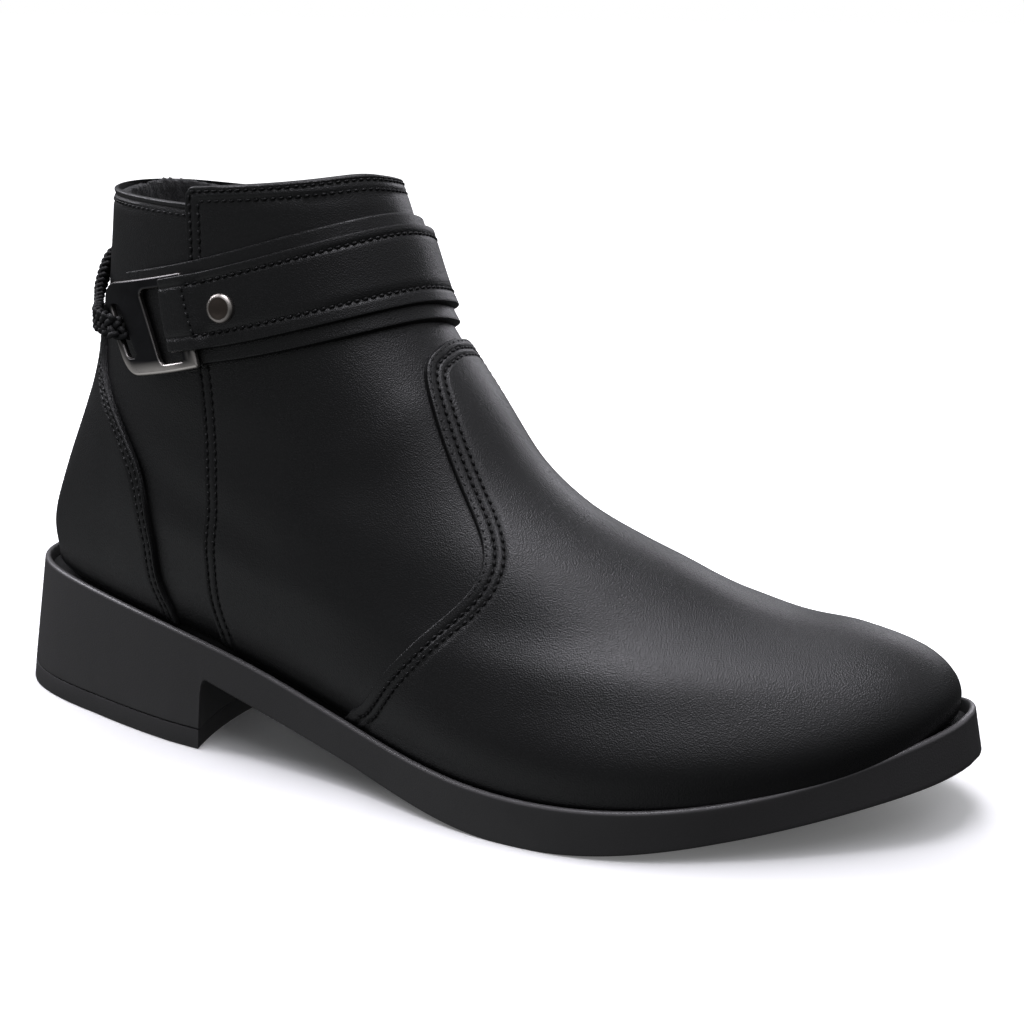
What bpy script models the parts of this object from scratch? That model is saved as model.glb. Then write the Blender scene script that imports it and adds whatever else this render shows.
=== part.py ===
"""A right ankle boot with a moulded unit sole, a low block heel, a vamp and a heel counter laid over
the upper, and an ankle strap with a slotted buckle plate, a dome rivet and a flat braided cord.
The toe points along +X and the buckle side is -Y. Tables are in millimetres, x from the heel back,
y to the inner side of the foot, z up from the floor. The last step turns them into metres, with the
middle of the footprint at the origin."""

import bmesh
import bpy
import numpy as np

# Middle of the footprint, which becomes the origin
MIDDLE_X = 132.46
MIDDLE_Y = -1.31

# Sole: height of the rim edge along the boot, and the ledge between the rim edge and the upper
RIM_X = [0, 40, 70, 95, 120, 145, 165, 185, 205, 225, 240, 252, 262]
RIM_Z = [37.2, 34.2, 30.7, 26.0, 19.8, 14.7, 12.3, 11.6, 12.2, 14.4, 17.6, 22.0, 27.6]
RISE = 1.0
LEDGE_DEGREES = [0, 30, 60, 90, 135, 160, 180, 200, 225, 270, 300, 330, 360]
LEDGE = [6.9, 5.3, 4.8, 4.8, 4.0, 3.0, 6.6, 7.8, 5.6, 5.0, 5.0, 6.6, 6.9]
BEVEL = 0.8
# How far the tread edge stands outside the rim edge
FLARE_X = [0, 5, 18, 40, 70, 130, 225, 262, 268]
FLARE = [5.4, 5.2, 4.0, 2.7, 2.6, -0.3, -0.3, 1.8, 1.8]
# Heel block: its front face, the arch in front of it, the flat of the tread and the toe spring
BREAST_X = 80.0
BREAST_RAKE = 2.3
BREAST_HOLLOW = 6.0
BREAST_Z = 19.3
FLAT_FROM = 174.0
FLAT_TO = 186.0
SOLE_LENGTH = 268.0
TOE_SPRING = 15.5
LIFT = 5.3

# Middle line of the foot in plan
MID_X = [0, 40, 80, 105, 130, 160, 200, 235, 268]
MID_Y = [1.2, -2.5, -5.0, -5.0, -5.3, -5.2, 0.0, 7.5, 14.0]

# Upper: one row per level from the feather line to the collar. A ring runs from its back point to its
# front point; dip is its share of the feather line's own curve; aside moves it to the inner side; the
# rest are its half widths at 0, 30, 60, 90, 120, 150 and 180 degrees round from the heel.
# level, back x, back z, front x, front z, dip, aside, then the half widths
LEVELS = np.array([
    [0.00, 9.8, 36.0, 258.9, 26.4, 1.00, 0.0, 49.5, 35.0, 29.6, 32.8, 49.6, 51.9, 60.0],
    [0.10, 9.0, 44.0, 258.6, 31.4, 0.86, 0.0, 50.5, 37.6, 31.9, 35.0, 49.7, 52.2, 55.5],
    [0.20, 10.6, 50.5, 251.4, 36.9, 0.66, 0.0, 50.5, 39.0, 33.2, 35.0, 44.5, 46.0, 46.0],
    [0.30, 13.5, 57.5, 237.4, 40.9, 0.46, 0.1, 49.5, 39.6, 33.8, 34.2, 40.0, 41.0, 30.0],
    [0.40, 17.3, 66.0, 214.0, 45.4, 0.30, 0.3, 47.0, 39.4, 34.0, 33.4, 36.0, 38.0, 29.0],
    [0.50, 22.1, 76.0, 188.0, 56.6, 0.16, 0.7, 43.5, 38.2, 33.5, 32.4, 33.4, 35.5, 30.0],
    [0.60, 26.9, 86.5, 163.0, 71.5, 0.06, 1.4, 40.0, 36.6, 32.8, 31.4, 31.4, 33.5, 30.5],
    [0.70, 30.6, 98.0, 145.0, 91.0, 0.00, 2.1, 36.5, 34.8, 31.8, 30.4, 30.2, 32.2, 30.4],
    [0.80, 32.6, 111.0, 130.4, 109.5, 0.00, 2.7, 33.2, 33.2, 30.8, 29.4, 29.4, 31.2, 30.2],
    [0.90, 34.2, 125.0, 122.8, 126.5, 0.00, 3.1, 30.8, 31.8, 29.8, 28.4, 28.4, 30.2, 29.2],
    [1.00, 36.2, 138.5, 116.3, 142.5, 0.00, 3.3, 29.0, 30.6, 28.8, 27.4, 27.4, 29.4, 28.0],
])
WIDTH_DEGREES = [0, 30, 60, 90, 120, 150, 180]

# Layers, as distances outside the base surface
WALL = 2.2
STEP = 1.1
GAP = 0.4
LAYER = 1.2
UNDER = (1.75, 3.0)
PLATE = (3.35, 4.95)
OVER = (3.35, 4.75)
FOLD = (5.3, 6.6)
CORD_THICK = 3.0
CORD_WIDE = 6.4

# Edges of the panels, as degrees round from the heel at each level
COUNTER_LEVEL = [0.0, 0.15, 0.35, 0.48, 0.56, 0.62, 0.72, 0.80, 1.0]
COUNTER_DEGREES = [60.0, 58.2, 59.6, 59.6, 56.8, 50.5, 39.8, 34.0, 32.0]
COUNTER_TOP = 0.79
SEAM_LEVEL = [0.0, 0.18, 0.30, 0.49, 0.61, 0.725, 0.914, 1.0]
SEAM_DEGREES = [65.0, 66.0, 67.7, 74.8, 80.7, 84.7, 88.9, 90.2]
SEAM_WIDE = 1.0
VAMP_LEVEL = [0.0, 0.15, 0.30, 0.40, 0.48, 0.56, 0.64, 0.70, 0.76, 1.0]
VAMP_DEGREES = [86.5, 92.5, 101.6, 113.5, 128.3, 141.0, 148.7, 153.2, 160.8, 165.0]
VAMP_TOP = 0.775
VAMP_SHOULDER = 0.745

# Collar: how far the rear and the front panel stand above the highest level, round the boot
REAR_DEGREES = [-90, -60, -30, 0, 30, 60, 90]
REAR_RISE = [-2.3, -1.2, 1.0, 2.1, 1.8, 0.5, -1.4]
FRONT_DEGREES = [90, 120, 150, 165, 180, 200, 230, 270]
FRONT_RISE = [2.8, 3.1, 3.85, 4.0, 3.1, 1.4, -0.9, -2.3]

# Ankle strap: its middle line and half height, as levels along the degrees
STRAP_DEGREES = [55, 90, 120, 150, 175, 205, 240, 270, 305]
STRAP_LEVEL = [0.785, 0.818, 0.853, 0.878, 0.883, 0.862, 0.830, 0.802, 0.780]
UNDER_HALF = 0.079
OVER_HALF = 0.058
UNDER_ENDS = (66.0, 300.0)
OVER_ENDS = (81.0, 291.0)

# Buckle plate: left edge at its top and bottom, right edge, how far it reaches below the strap's middle
# line at its left and right and above it, and its slots as blocks of its grid
PLATE_LEFT = (52.0, 63.0)
PLATE_RIGHT = 89.0
PLATE_LOW = (0.098, 0.083)
PLATE_HIGH = 0.063
PLATE_ACROSS = [0.0, 0.04, 0.095, 0.235, 0.39, 0.54, 0.69, 0.84, 0.92, 1.0]
PLATE_UP = [0.0, 0.08, 0.19, 0.32, 0.44, 0.56, 0.66, 0.75, 0.89, 1.0]
CORD_SLOT = (2, 3, 2, 7)
STRAP_SLOT = (5, 7, 1, 8)

RIVET_DEGREES = 101.4
RIVET_LEVEL = 0.828
RIVET_RADIUS = 3.5

# Cord, from the inner strap end to the slot: degrees, level, distance outside the base surface, and the
# degrees by which the band leans to lie along the slot
CORD_PATH = [
    (301.6, 0.782, 2.5, 0.0), (316.0, 0.806, 2.2, 0.0), (333.0, 0.838, 2.1, 0.0), (348.0, 0.860, 2.1, 0.0),
    (362.0, 0.868, 2.1, 0.0), (373.0, 0.862, 2.1, 0.0), (381.0, 0.846, 2.1, 0.0), (387.5, 0.827, 2.3, 0.0),
    (394.0, 0.809, 2.8, 0.0), (400.0, 0.797, 3.3, 0.0), (405.5, 0.789, 4.5, 0.0), (409.5, 0.785, 6.1, 0.0),
    (412.5, 0.783, 6.9, 0.5), (416.0, 0.781, 7.0, 1.0), (419.0, 0.778, 6.85, 1.5), (420.8, 0.776, 5.9, 1.7),
    (421.4, 0.775, 4.5, 1.7), (421.45, 0.775, 2.8, 1.7), (421.45, 0.775, 0.8, 1.7),
]


def spline(knots, values, at):
    """Natural cubic spline through values, one row for each knot, read at each place in at."""
    knots = np.asarray(knots, float)
    values = np.asarray(values, float)
    at = np.asarray(at, float)
    count = len(knots)
    gap = np.diff(knots)
    flat = values.reshape(count, -1)
    matrix = np.eye(count)
    right = np.zeros_like(flat)
    for i in range(1, count - 1):
        matrix[i, i - 1] = gap[i - 1]
        matrix[i, i] = 2 * (gap[i - 1] + gap[i])
        matrix[i, i + 1] = gap[i]
        right[i] = 6 * ((flat[i + 1] - flat[i]) / gap[i] - (flat[i] - flat[i - 1]) / gap[i - 1])
    bend = np.linalg.solve(matrix, right)
    place = np.clip(np.searchsorted(knots, at, side="right") - 1, 0, count - 2)
    step = gap[place][..., None]
    a = (knots[place + 1][..., None] - at[..., None]) / step
    b = 1 - a
    curve = a * flat[place] + b * flat[place + 1]
    curve = curve + ((a**3 - a) * bend[place] + (b**3 - b) * bend[place + 1]) * step**2 / 6
    return curve.reshape(at.shape + values.shape[1:])


def rim_z(x):
    return spline(RIM_X, RIM_Z, np.clip(x, 0, RIM_X[-1]))


def mid_y(x):
    return spline(MID_X, MID_Y, np.clip(x, 0, SOLE_LENGTH))


def half_turn(degrees):
    """Degrees round from the heel on either side, 0 at the heel and 180 at the toe."""
    return 180 - np.abs(180 - np.mod(degrees, 360))


def base(degrees, level):
    """A point of the upper's base surface: 0 to 180 degrees is the outer side, 180 to 360 the inner."""
    degrees, level = np.broadcast_arrays(np.asarray(degrees, float), np.asarray(level, float))
    row = spline(LEVELS[:, 0], LEVELS[:, 1:], level)
    back_x, back_z, front_x, front_z, dip, aside = np.moveaxis(row[..., :6], -1, 0)
    half = half_turn(degrees)
    along = (1 - np.cos(np.radians(half))) / 2
    weights = spline(WIDTH_DEGREES, np.eye(len(WIDTH_DEGREES)), half)
    wide = (weights * row[..., 6:]).sum(-1) * np.sin(np.radians(half))
    x = back_x + (front_x - back_x) * along
    low_x, low_z, tip_x, tip_z = LEVELS[0, 1:5]
    feather = rim_z(low_x + (tip_x - low_x) * along) + RISE - (low_z + (tip_z - low_z) * along)
    z = back_z + (front_z - back_z) * along + dip * feather
    side = np.where(np.mod(degrees, 360) <= 180, -1.0, 1.0)
    return np.stack([x, mid_y(x) + aside + side * wide, z], -1)


def normal(degrees, level):
    """Outward unit normal of the base surface, level at the feather line and at the collar."""
    degrees, level = np.broadcast_arrays(np.asarray(degrees, float), np.asarray(level, float))
    around = base(degrees + 0.05, level) - base(degrees - 0.05, level)
    up = base(degrees, np.minimum(level + 0.001, 1)) - base(degrees, np.maximum(level - 0.001, 0))
    out = np.cross(around, up)
    edge = (level < 0.001) | (level > 0.999)
    out[..., 2] = np.where(edge, 0.0, out[..., 2])
    return out / np.linalg.norm(out, axis=-1, keepdims=True)


def layer(degrees, level, distance):
    """A point this far outside the base surface."""
    return base(degrees, level) + normal(degrees, level) * np.asarray(distance, float)[..., None]


def plan_outward(degrees):
    """Outward unit normal of the feather line in plan."""
    return normal(degrees, np.zeros_like(np.asarray(degrees, float)))[..., :2]


def feather_ring(degrees, inset):
    """The feather line moved inwards in plan."""
    point = base(degrees, 0.0)
    xy = point[..., :2] - plan_outward(degrees) * inset
    return np.concatenate([xy, point[..., 2:]], -1)


def rim_ring(degrees):
    """The outer edge of the sole's rim."""
    wide = spline(LEDGE_DEGREES, LEDGE, np.mod(degrees, 360))
    point = base(degrees, 0.0)
    xy = point[..., :2] + plan_outward(degrees) * wide[..., None]
    return np.concatenate([xy, point[..., 2:] - RISE], -1)


def tread_z(x):
    """Height of the sole's underside in front of the heel: arch, flat and toe spring."""
    s = np.clip((x - BREAST_X) / (FLAT_FROM - BREAST_X), 0, 1)
    t = np.clip((x - FLAT_TO) / (SOLE_LENGTH - FLAT_TO), 0, 1)
    return BREAST_Z * (1 - s) ** 1.75 * (1 + 0.6 * s) + TOE_SPRING * t**1.63


def tread_ring(degrees):
    """The lower edge of the sole's side, with the heel block reaching the floor."""
    rim = rim_ring(degrees)
    flare = np.interp(rim[..., 0], FLARE_X, FLARE)
    xy = rim[..., :2] + plan_outward(degrees) * flare[..., None]
    z = np.where(xy[..., 0] < BREAST_X + 1, 0.0, tread_z(xy[..., 0]))
    return np.concatenate([xy, z[..., None]], -1)


def sole_stations(places):
    """Degrees on the outer side, then on the inner side, where the tread edge passes each x."""
    fine = np.linspace(0, 180, 1441)
    outer = np.maximum.accumulate(tread_ring(fine)[:, 0])
    inner = np.maximum.accumulate(tread_ring(360 - fine)[:, 0])
    return np.interp(places, outer, fine), 360 - np.interp(places, inner, fine)


def loop_degrees(places):
    """Degrees of a whole loop: heel back, outer side, toe tip, inner side back to the heel."""
    outer, inner = sole_stations(places)
    return np.concatenate([[0.0], outer, [180.0], inner[::-1]])


def mesh_object(name, points, faces, material):
    """One closed mesh, moved to the footprint's middle and turned into metres."""
    points = (np.asarray(points, float) - [MIDDLE_X, MIDDLE_Y, 0.0]) / 1000
    mesh = bpy.data.meshes.new(name)
    mesh.from_pydata(points.tolist(), [], [list(map(int, face)) for face in faces])
    work = bmesh.new()
    work.from_mesh(mesh)
    bmesh.ops.triangulate(work, faces=work.faces[:])
    bmesh.ops.recalc_face_normals(work, faces=work.faces[:])
    work.to_mesh(mesh)
    work.free()
    mesh.materials.append(material)
    made = bpy.data.objects.new(name, mesh)
    BOOT.objects.link(made)
    return made


def paint(name, colour, roughness, metallic=0.0):
    material = bpy.data.materials.new(name)
    material.use_nodes = True
    shader = material.node_tree.nodes["Principled BSDF"]
    shader.inputs["Base Color"].default_value = (*colour, 1.0)
    shader.inputs["Roughness"].default_value = roughness
    shader.inputs["Metallic"].default_value = metallic
    material.diffuse_color = (*colour, 1.0)
    return material


def slab(name, outer, inner, material, holes=(), wrap=False):
    """A closed sheet between two grids of points, with blocks of cells left out as holes."""
    rows, columns = outer.shape[:2]
    count = rows * columns
    points = np.concatenate([outer.reshape(-1, 3), inner.reshape(-1, 3)])
    across = columns if wrap else columns - 1
    solid = np.ones((rows - 1, across), bool)
    for first, last, low, high in holes:
        solid[low:high, first:last] = False
    faces = []

    def corner(row, column):
        return row * columns + column % columns

    def filled(row, column):
        if wrap:
            column %= columns
        return 0 <= row < rows - 1 and 0 <= column < across and solid[row, column]

    for row, column in zip(*np.nonzero(solid)):
        a, b = corner(row, column), corner(row, column + 1)
        c, d = corner(row + 1, column + 1), corner(row + 1, column)
        faces.append((a, b, c))
        faces.append((a, c, d))
        faces.append((c + count, b + count, a + count))
        faces.append((d + count, c + count, a + count))
        for start, end, beside in (
            (a, b, (row - 1, column)),
            (b, c, (row, column + 1)),
            (c, d, (row + 1, column)),
            (d, a, (row, column - 1)),
        ):
            if not filled(*beside):
                faces.append((end, start, start + count, end + count))
    used = np.unique(np.concatenate([np.asarray(face) for face in faces]))
    number = np.full(2 * count, -1)
    number[used] = np.arange(len(used))
    return mesh_object(name, points[used], [number[list(face)] for face in faces], material)


def stack(name, loops, material, across=6, hollow=None):
    """A closed solid from loops one above another, with its lowest and highest loop filled across.
    A loop is the heel point, the outer side, the toe point and the inner side. hollow moves the
    middle of the lowest filling along x at each station, as a curved heel front needs."""
    size = len(loops[0])
    half = size // 2
    points = [np.asarray(loop) for loop in loops]
    faces = []
    for k in range(len(loops) - 1):
        for i in range(size):
            j = (i + 1) % size
            faces.append((k * size + i, k * size + j, (k + 1) * size + j, (k + 1) * size + i))
    total = size * len(loops)
    for k in (0, len(loops) - 1):
        strips = [[k * size] * (across + 1)]
        for i in range(1, half):
            first, last = loops[k][i], loops[k][size - i]
            share = np.linspace(0, 1, across + 1)[1:-1, None]
            middle = first + (last - first) * share
            if k == 0 and hollow is not None:
                middle[:, 0] += hollow[i] * (1 - (2 * share[:, 0] - 1) ** 2)
            points.append(middle)
            inside = list(range(total, total + across - 1))
            total += across - 1
            strips.append([k * size + i] + inside + [k * size + size - i])
        strips.append([k * size + half] * (across + 1))
        for low, high in zip(strips[:-1], strips[1:]):
            for m in range(across):
                face = list(dict.fromkeys((low[m], low[m + 1], high[m + 1], high[m])))
                faces.append(face[::-1] if k else face)
    return mesh_object(name, np.concatenate(points), faces, material)


def column_degrees(level):
    """Columns of the upper at a level, placed so that one lies along each panel edge."""
    counter = float(spline(COUNTER_LEVEL, COUNTER_DEGREES, level))
    seam = float(spline(SEAM_LEVEL, SEAM_DEGREES, level))
    vamp = float(spline(VAMP_LEVEL, VAMP_DEGREES, level))
    outer = np.concatenate([
        np.linspace(0, counter, 7)[:-1],
        np.linspace(counter, seam - SEAM_WIDE / 2, 3)[:-1],
        [seam - SEAM_WIDE / 2],
        np.linspace(seam + SEAM_WIDE / 2, vamp, 9)[:-1],
        np.linspace(vamp, 180, 11)[:-1],
    ])
    return np.concatenate([outer, [180.0], 360 - outer[:0:-1]])


COUNTER_COLUMN = 6
SEAM_COLUMN = 8
VAMP_COLUMN = 17
FRONT_COLUMN = 27
ROWS = np.array([0, 0.045, 0.09, 0.14, 0.19, 0.24, 0.30, 0.36, 0.42, 0.48, 0.54, 0.60, 0.66, 0.72, 0.79, 0.86,
                 0.93, 1.0])


def collar_rise(degrees, front):
    turned = np.where(degrees > 180, degrees - 360, degrees)
    rear = spline(REAR_DEGREES, REAR_RISE, np.clip(turned, -90, 90))
    return np.where(front, spline(FRONT_DEGREES, FRONT_RISE, np.clip(degrees, 90, 270)), rear)


def make_upper(material):
    columns = np.array([column_degrees(level) for level in ROWS])
    levels = np.broadcast_to(ROWS[:, None], columns.shape)
    place = np.arange(columns.shape[1])
    front = (place > SEAM_COLUMN) & (place < columns.shape[1] - SEAM_COLUMN)
    outer = layer(columns, levels, np.broadcast_to(np.where(front, STEP, 0.0), columns.shape))
    inner = layer(columns, levels, np.full(columns.shape, -WALL))
    for sheet in (outer, inner):
        sheet[0, :, 2] = base(columns[0], 0.0)[:, 2] + 0.3
        sheet[-1, :, 2] += collar_rise(columns[-1], front)
    slab("upper", outer, inner, material, wrap=True)


def make_vamp(material):
    rows = ROWS[ROWS < 0.70]
    rows = np.concatenate([rows, [0.70, VAMP_SHOULDER - 0.012, VAMP_SHOULDER]])
    columns = np.array([column_degrees(level) for level in rows])[:, VAMP_COLUMN:]
    columns = columns[:, : 2 * (FRONT_COLUMN - VAMP_COLUMN) + 1]
    share = np.linspace(-1, 1, columns.shape[1])
    crown = (VAMP_TOP - VAMP_SHOULDER) * (1 - np.abs(share) ** 3)
    levels = np.broadcast_to(rows[:, None], columns.shape).copy()
    levels[-1] += crown
    levels[-2] += crown * 0.45
    inner = layer(columns, levels, np.full(columns.shape, STEP + GAP))
    outer = layer(columns, levels, np.full(columns.shape, STEP + GAP + LAYER))
    for sheet in (outer, inner):
        sheet[0, :, 2] = base(columns[0], 0.0)[:, 2] + 0.3
    slab("vamp", outer, inner, material)


def make_counter(material):
    rows = np.concatenate([ROWS[ROWS < 0.75], [COUNTER_TOP]])
    columns = np.array([column_degrees(level) for level in rows])
    columns = np.concatenate([columns[:, -COUNTER_COLUMN:] - 360, columns[:, : COUNTER_COLUMN + 1]], 1)
    levels = np.broadcast_to(rows[:, None], columns.shape)
    inner = layer(columns, levels, np.full(columns.shape, GAP))
    outer = layer(columns, levels, np.full(columns.shape, GAP + LAYER))
    for sheet in (outer, inner):
        sheet[0, :, 2] = base(columns[0], 0.0)[:, 2] + 0.3
    slab("counter", outer, inner, material)


def strap(name, ends, half, inside, outside, material, columns):
    """A band along the strap's middle line, between two distances that may change along it."""
    degrees = np.linspace(*ends, columns)
    middle = spline(STRAP_DEGREES, STRAP_LEVEL, degrees)
    levels = middle + np.linspace(-half, half, 5)[:, None]
    around = np.broadcast_to(degrees, levels.shape)
    inner = layer(around, levels, np.broadcast_to(inside(degrees), levels.shape))
    outer = layer(around, levels, np.broadcast_to(outside(degrees), levels.shape))
    slab(name, outer, inner, material)


def make_straps(material):
    strap("under_strap", UNDER_ENDS, UNDER_HALF, lambda d: d * 0 + UNDER[0], lambda d: d * 0 + UNDER[1],
          material, 40)

    def rise(low, high):
        return lambda d: high + (low - high) * np.clip((d - PLATE_RIGHT - 1) / 5, 0, 1)

    strap("over_strap", OVER_ENDS, OVER_HALF, rise(OVER[0], FOLD[0]), rise(OVER[1], FOLD[1]), material, 44)


def make_buckle(material):
    across = np.array(PLATE_ACROSS)
    up = np.array(PLATE_UP)[:, None]
    left = PLATE_LEFT[1] + (PLATE_LEFT[0] - PLATE_LEFT[1]) * np.minimum(up * 1.25, 1.0)
    degrees = left + (PLATE_RIGHT - left) * across
    middle = spline(STRAP_DEGREES, STRAP_LEVEL, degrees)
    low = PLATE_LOW[0] + (PLATE_LOW[1] - PLATE_LOW[0]) * across
    levels = middle - low + (PLATE_HIGH + low) * up
    for row, column, toward in ((0, 0, (1, 1)), (-1, 0, (-2, 1))):
        degrees[row, column] = (degrees[row, column] + degrees[toward]) / 2
        levels[row, column] = (levels[row, column] + levels[toward]) / 2
    inner = layer(degrees, levels, np.full(degrees.shape, PLATE[0]))
    outer = layer(degrees, levels, np.full(degrees.shape, PLATE[1]))
    slab("buckle", outer, inner, material, holes=(CORD_SLOT, STRAP_SLOT))


def make_rivet(material):
    """A low dome turned round the strap's own normal."""
    foot = layer(RIVET_DEGREES, RIVET_LEVEL, np.array(OVER[1] + 0.45))
    out = normal(RIVET_DEGREES, RIVET_LEVEL)
    side = np.cross([0.0, 0.0, 1.0], out)
    side /= np.linalg.norm(side)
    up = np.cross(out, side)
    turn = np.radians(np.arange(0, 360, 18))[:, None]
    circle = np.cos(turn) * side + np.sin(turn) * up
    rings = [foot + circle * RIVET_RADIUS * wide + out * high
             for wide, high in ((1.0, 0.0), (1.0, 0.5), (0.86, 1.2), (0.62, 1.6))]
    size = len(circle)
    points = np.concatenate(rings + [[foot], [foot + out * 1.8]])
    faces = []
    for i in range(size):
        j = (i + 1) % size
        for k in range(len(rings) - 1):
            faces.append((k * size + i, k * size + j, (k + 1) * size + j, (k + 1) * size + i))
        faces.append((4 * size, j, i))
        faces.append((4 * size + 1, 3 * size + i, 3 * size + j))
    mesh_object("rivet", points, faces, material)


def make_cord(material):
    """A flat oval band swept along its route, its wide side lying on the shaft."""
    path = np.array(CORD_PATH)
    knots = np.arange(len(path), dtype=float)
    fine = spline(knots, path, np.linspace(0, len(path) - 1, 61))
    centre = layer(fine[:, 0], fine[:, 1], fine[:, 2])
    ahead = np.gradient(centre, axis=0)
    ahead /= np.linalg.norm(ahead, axis=1, keepdims=True)
    lean = fine[:, 3]
    up = base(fine[:, 0] - lean, fine[:, 1] + 0.02) - base(fine[:, 0] + lean, fine[:, 1] - 0.02)
    up -= ahead * (up * ahead).sum(1, keepdims=True)
    up /= np.linalg.norm(up, axis=1, keepdims=True)
    out = np.cross(ahead, up)
    turn = np.radians(np.arange(0, 360, 36))
    oval = (np.cos(turn)[None, :, None] * up[:, None] * CORD_WIDE / 2
            + np.sin(turn)[None, :, None] * out[:, None] * CORD_THICK / 2)
    rings = centre[:, None] + oval
    size = len(turn)
    last = len(rings) - 1
    faces = []
    for k in range(last):
        for i in range(size):
            j = (i + 1) % size
            faces.append((k * size + i, k * size + j, (k + 1) * size + j, (k + 1) * size + i))
    faces.append(range(size)[::-1])
    faces.append([last * size + i for i in range(size)])
    mesh_object("cord", rings.reshape(-1, 3), faces, material)


def make_sole(rubber, wearing):
    """The unit sole: its underside, its tapering side, the bevelled rim, the ledge and the seat."""
    span = (1 - np.cos(np.linspace(0, np.pi, 27)[1:-1])) / 2
    places = -0.7 + 269.3 * span
    clear = [x for x in places if min(abs(x - e) for e in (BREAST_X, FLAT_FROM, FLAT_TO)) > 3.4]
    places = np.sort(clear + [BREAST_X, BREAST_X + BREAST_RAKE, FLAT_FROM, FLAT_TO])
    degrees = loop_degrees(places)
    tread = tread_ring(degrees)
    rim = rim_ring(degrees)
    on_heel = tread[:, 0] < BREAST_X + 1
    lift_share = (LIFT + 0.3) / np.maximum(rim[:, 2], 1)
    low = np.where(on_heel[:, None], tread + (rim - tread) * lift_share[:, None], tread)
    out = plan_outward(degrees)
    side = low + (rim - low) * 0.93
    edge = rim.copy()
    edge[:, :2] -= out * BEVEL
    seat = feather_ring(degrees, 0.6)
    slot = feather_ring(degrees, WALL + 1.5)
    half = len(degrees) // 2
    hollow = np.zeros(half)
    at = np.nonzero(np.isclose(places, BREAST_X))[0][0] + 1
    hollow[at] = -BREAST_HOLLOW
    hollow[at + 1] = -BREAST_HOLLOW
    stack("sole_unit", [low, side, edge, seat, slot], rubber, hollow=hollow)
    heel = np.nonzero(on_heel[1:half])[0] + 1
    keep = np.concatenate([[0], heel, (len(degrees) - heel)[::-1]])
    ground = tread[keep]
    ground[:, 2] = 0.0
    top = tread[keep] + (rim[keep] - tread[keep]) * (LIFT / np.maximum(rim[keep, 2], 1))[:, None]
    top[:, 2] = LIFT
    lift(ground, top, wearing)


def lift(ground, top, material):
    """The heel's wearing layer: two heel outlines whose front edge is hollow."""
    across = 8
    share = np.linspace(0, 1, across + 1)[1:-1, None]
    loops = []
    for loop in (ground, top):
        count = len(loop) // 2
        front = loop[count] + (loop[count + 1] - loop[count]) * share
        front[:, 0] -= BREAST_HOLLOW * (1 - (2 * share[:, 0] - 1) ** 2)
        loops.append(np.concatenate([loop[: count + 1], front, loop[count + 1:]]))
    size = len(loops[0])
    faces = [range(size)[::-1], range(size, 2 * size)]
    for i in range(size):
        j = (i + 1) % size
        faces.append((i, j, size + j, size + i))
    mesh_object("heel_lift", np.concatenate(loops), faces, material)


def make_insole(material):
    span = (1 - np.cos(np.linspace(0, np.pi, 25)[1:-1])) / 2
    degrees = loop_degrees(4 + 260 * span)
    under = feather_ring(degrees, WALL + 0.9)
    under[:, 2] += 0.5
    top = feather_ring(degrees, WALL + 0.9)
    top[:, 2] += 2.6
    stack("insole", [under, top], material)


for item in list(bpy.data.objects):
    bpy.data.objects.remove(item)
BOOT = bpy.data.collections.new("buckle_ankle_boot")
bpy.context.scene.collection.children.link(BOOT)

black_leather = paint("black_leather", (0.022, 0.022, 0.025), 0.42)
strap_leather = paint("strap_leather", (0.020, 0.020, 0.023), 0.45)
black_rubber = paint("black_rubber", (0.030, 0.030, 0.033), 0.55)
lift_rubber = paint("lift_rubber", (0.024, 0.024, 0.026), 0.62)
footbed_cloth = paint("footbed_cloth", (0.060, 0.060, 0.065), 0.95)
gunmetal = paint("gunmetal", (0.230, 0.220, 0.215), 0.28, 1.0)
braided_cord = paint("braided_cord", (0.018, 0.018, 0.020), 0.70)

make_sole(black_rubber, lift_rubber)
make_insole(footbed_cloth)
make_upper(black_leather)
make_vamp(black_leather)
make_counter(black_leather)
make_straps(strap_leather)
make_buckle(gunmetal)
make_rivet(gunmetal)
make_cord(braided_cord)
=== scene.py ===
"""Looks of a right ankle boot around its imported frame: leather panels, strap, buckle plate, braided cord,
moulded sole, lining and stitches, each a surface worked out from the boot's own sizes."""

import math

import bmesh
import bpy
import numpy as np
from bpy.props import FloatProperty, FloatVectorProperty, PointerProperty
from bpy.types import Operator, Panel, PropertyGroup
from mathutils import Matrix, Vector


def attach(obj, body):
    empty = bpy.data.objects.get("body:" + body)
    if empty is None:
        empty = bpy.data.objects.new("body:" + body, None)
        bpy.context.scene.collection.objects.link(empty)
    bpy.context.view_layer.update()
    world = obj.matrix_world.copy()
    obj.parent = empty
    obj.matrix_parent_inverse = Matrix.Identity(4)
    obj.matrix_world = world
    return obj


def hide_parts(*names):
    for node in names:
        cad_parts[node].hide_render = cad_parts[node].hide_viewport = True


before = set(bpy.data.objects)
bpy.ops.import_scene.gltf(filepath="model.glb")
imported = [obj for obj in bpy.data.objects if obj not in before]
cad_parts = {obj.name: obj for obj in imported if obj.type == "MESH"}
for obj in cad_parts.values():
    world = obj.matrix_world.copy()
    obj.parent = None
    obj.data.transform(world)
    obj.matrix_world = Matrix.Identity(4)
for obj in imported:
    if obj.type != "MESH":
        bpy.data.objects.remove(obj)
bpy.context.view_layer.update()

bl_info = {
    "name": "Buckle ankle boot",
    "version": (1, 0, 0),
    "blender": (4, 5, 0),
    "location": "View3D > Sidebar > Boot",
    "description": "Builds the leather, sole, strap and metalwork of an ankle boot around its frame",
    "category": "Add Mesh",
}

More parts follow.
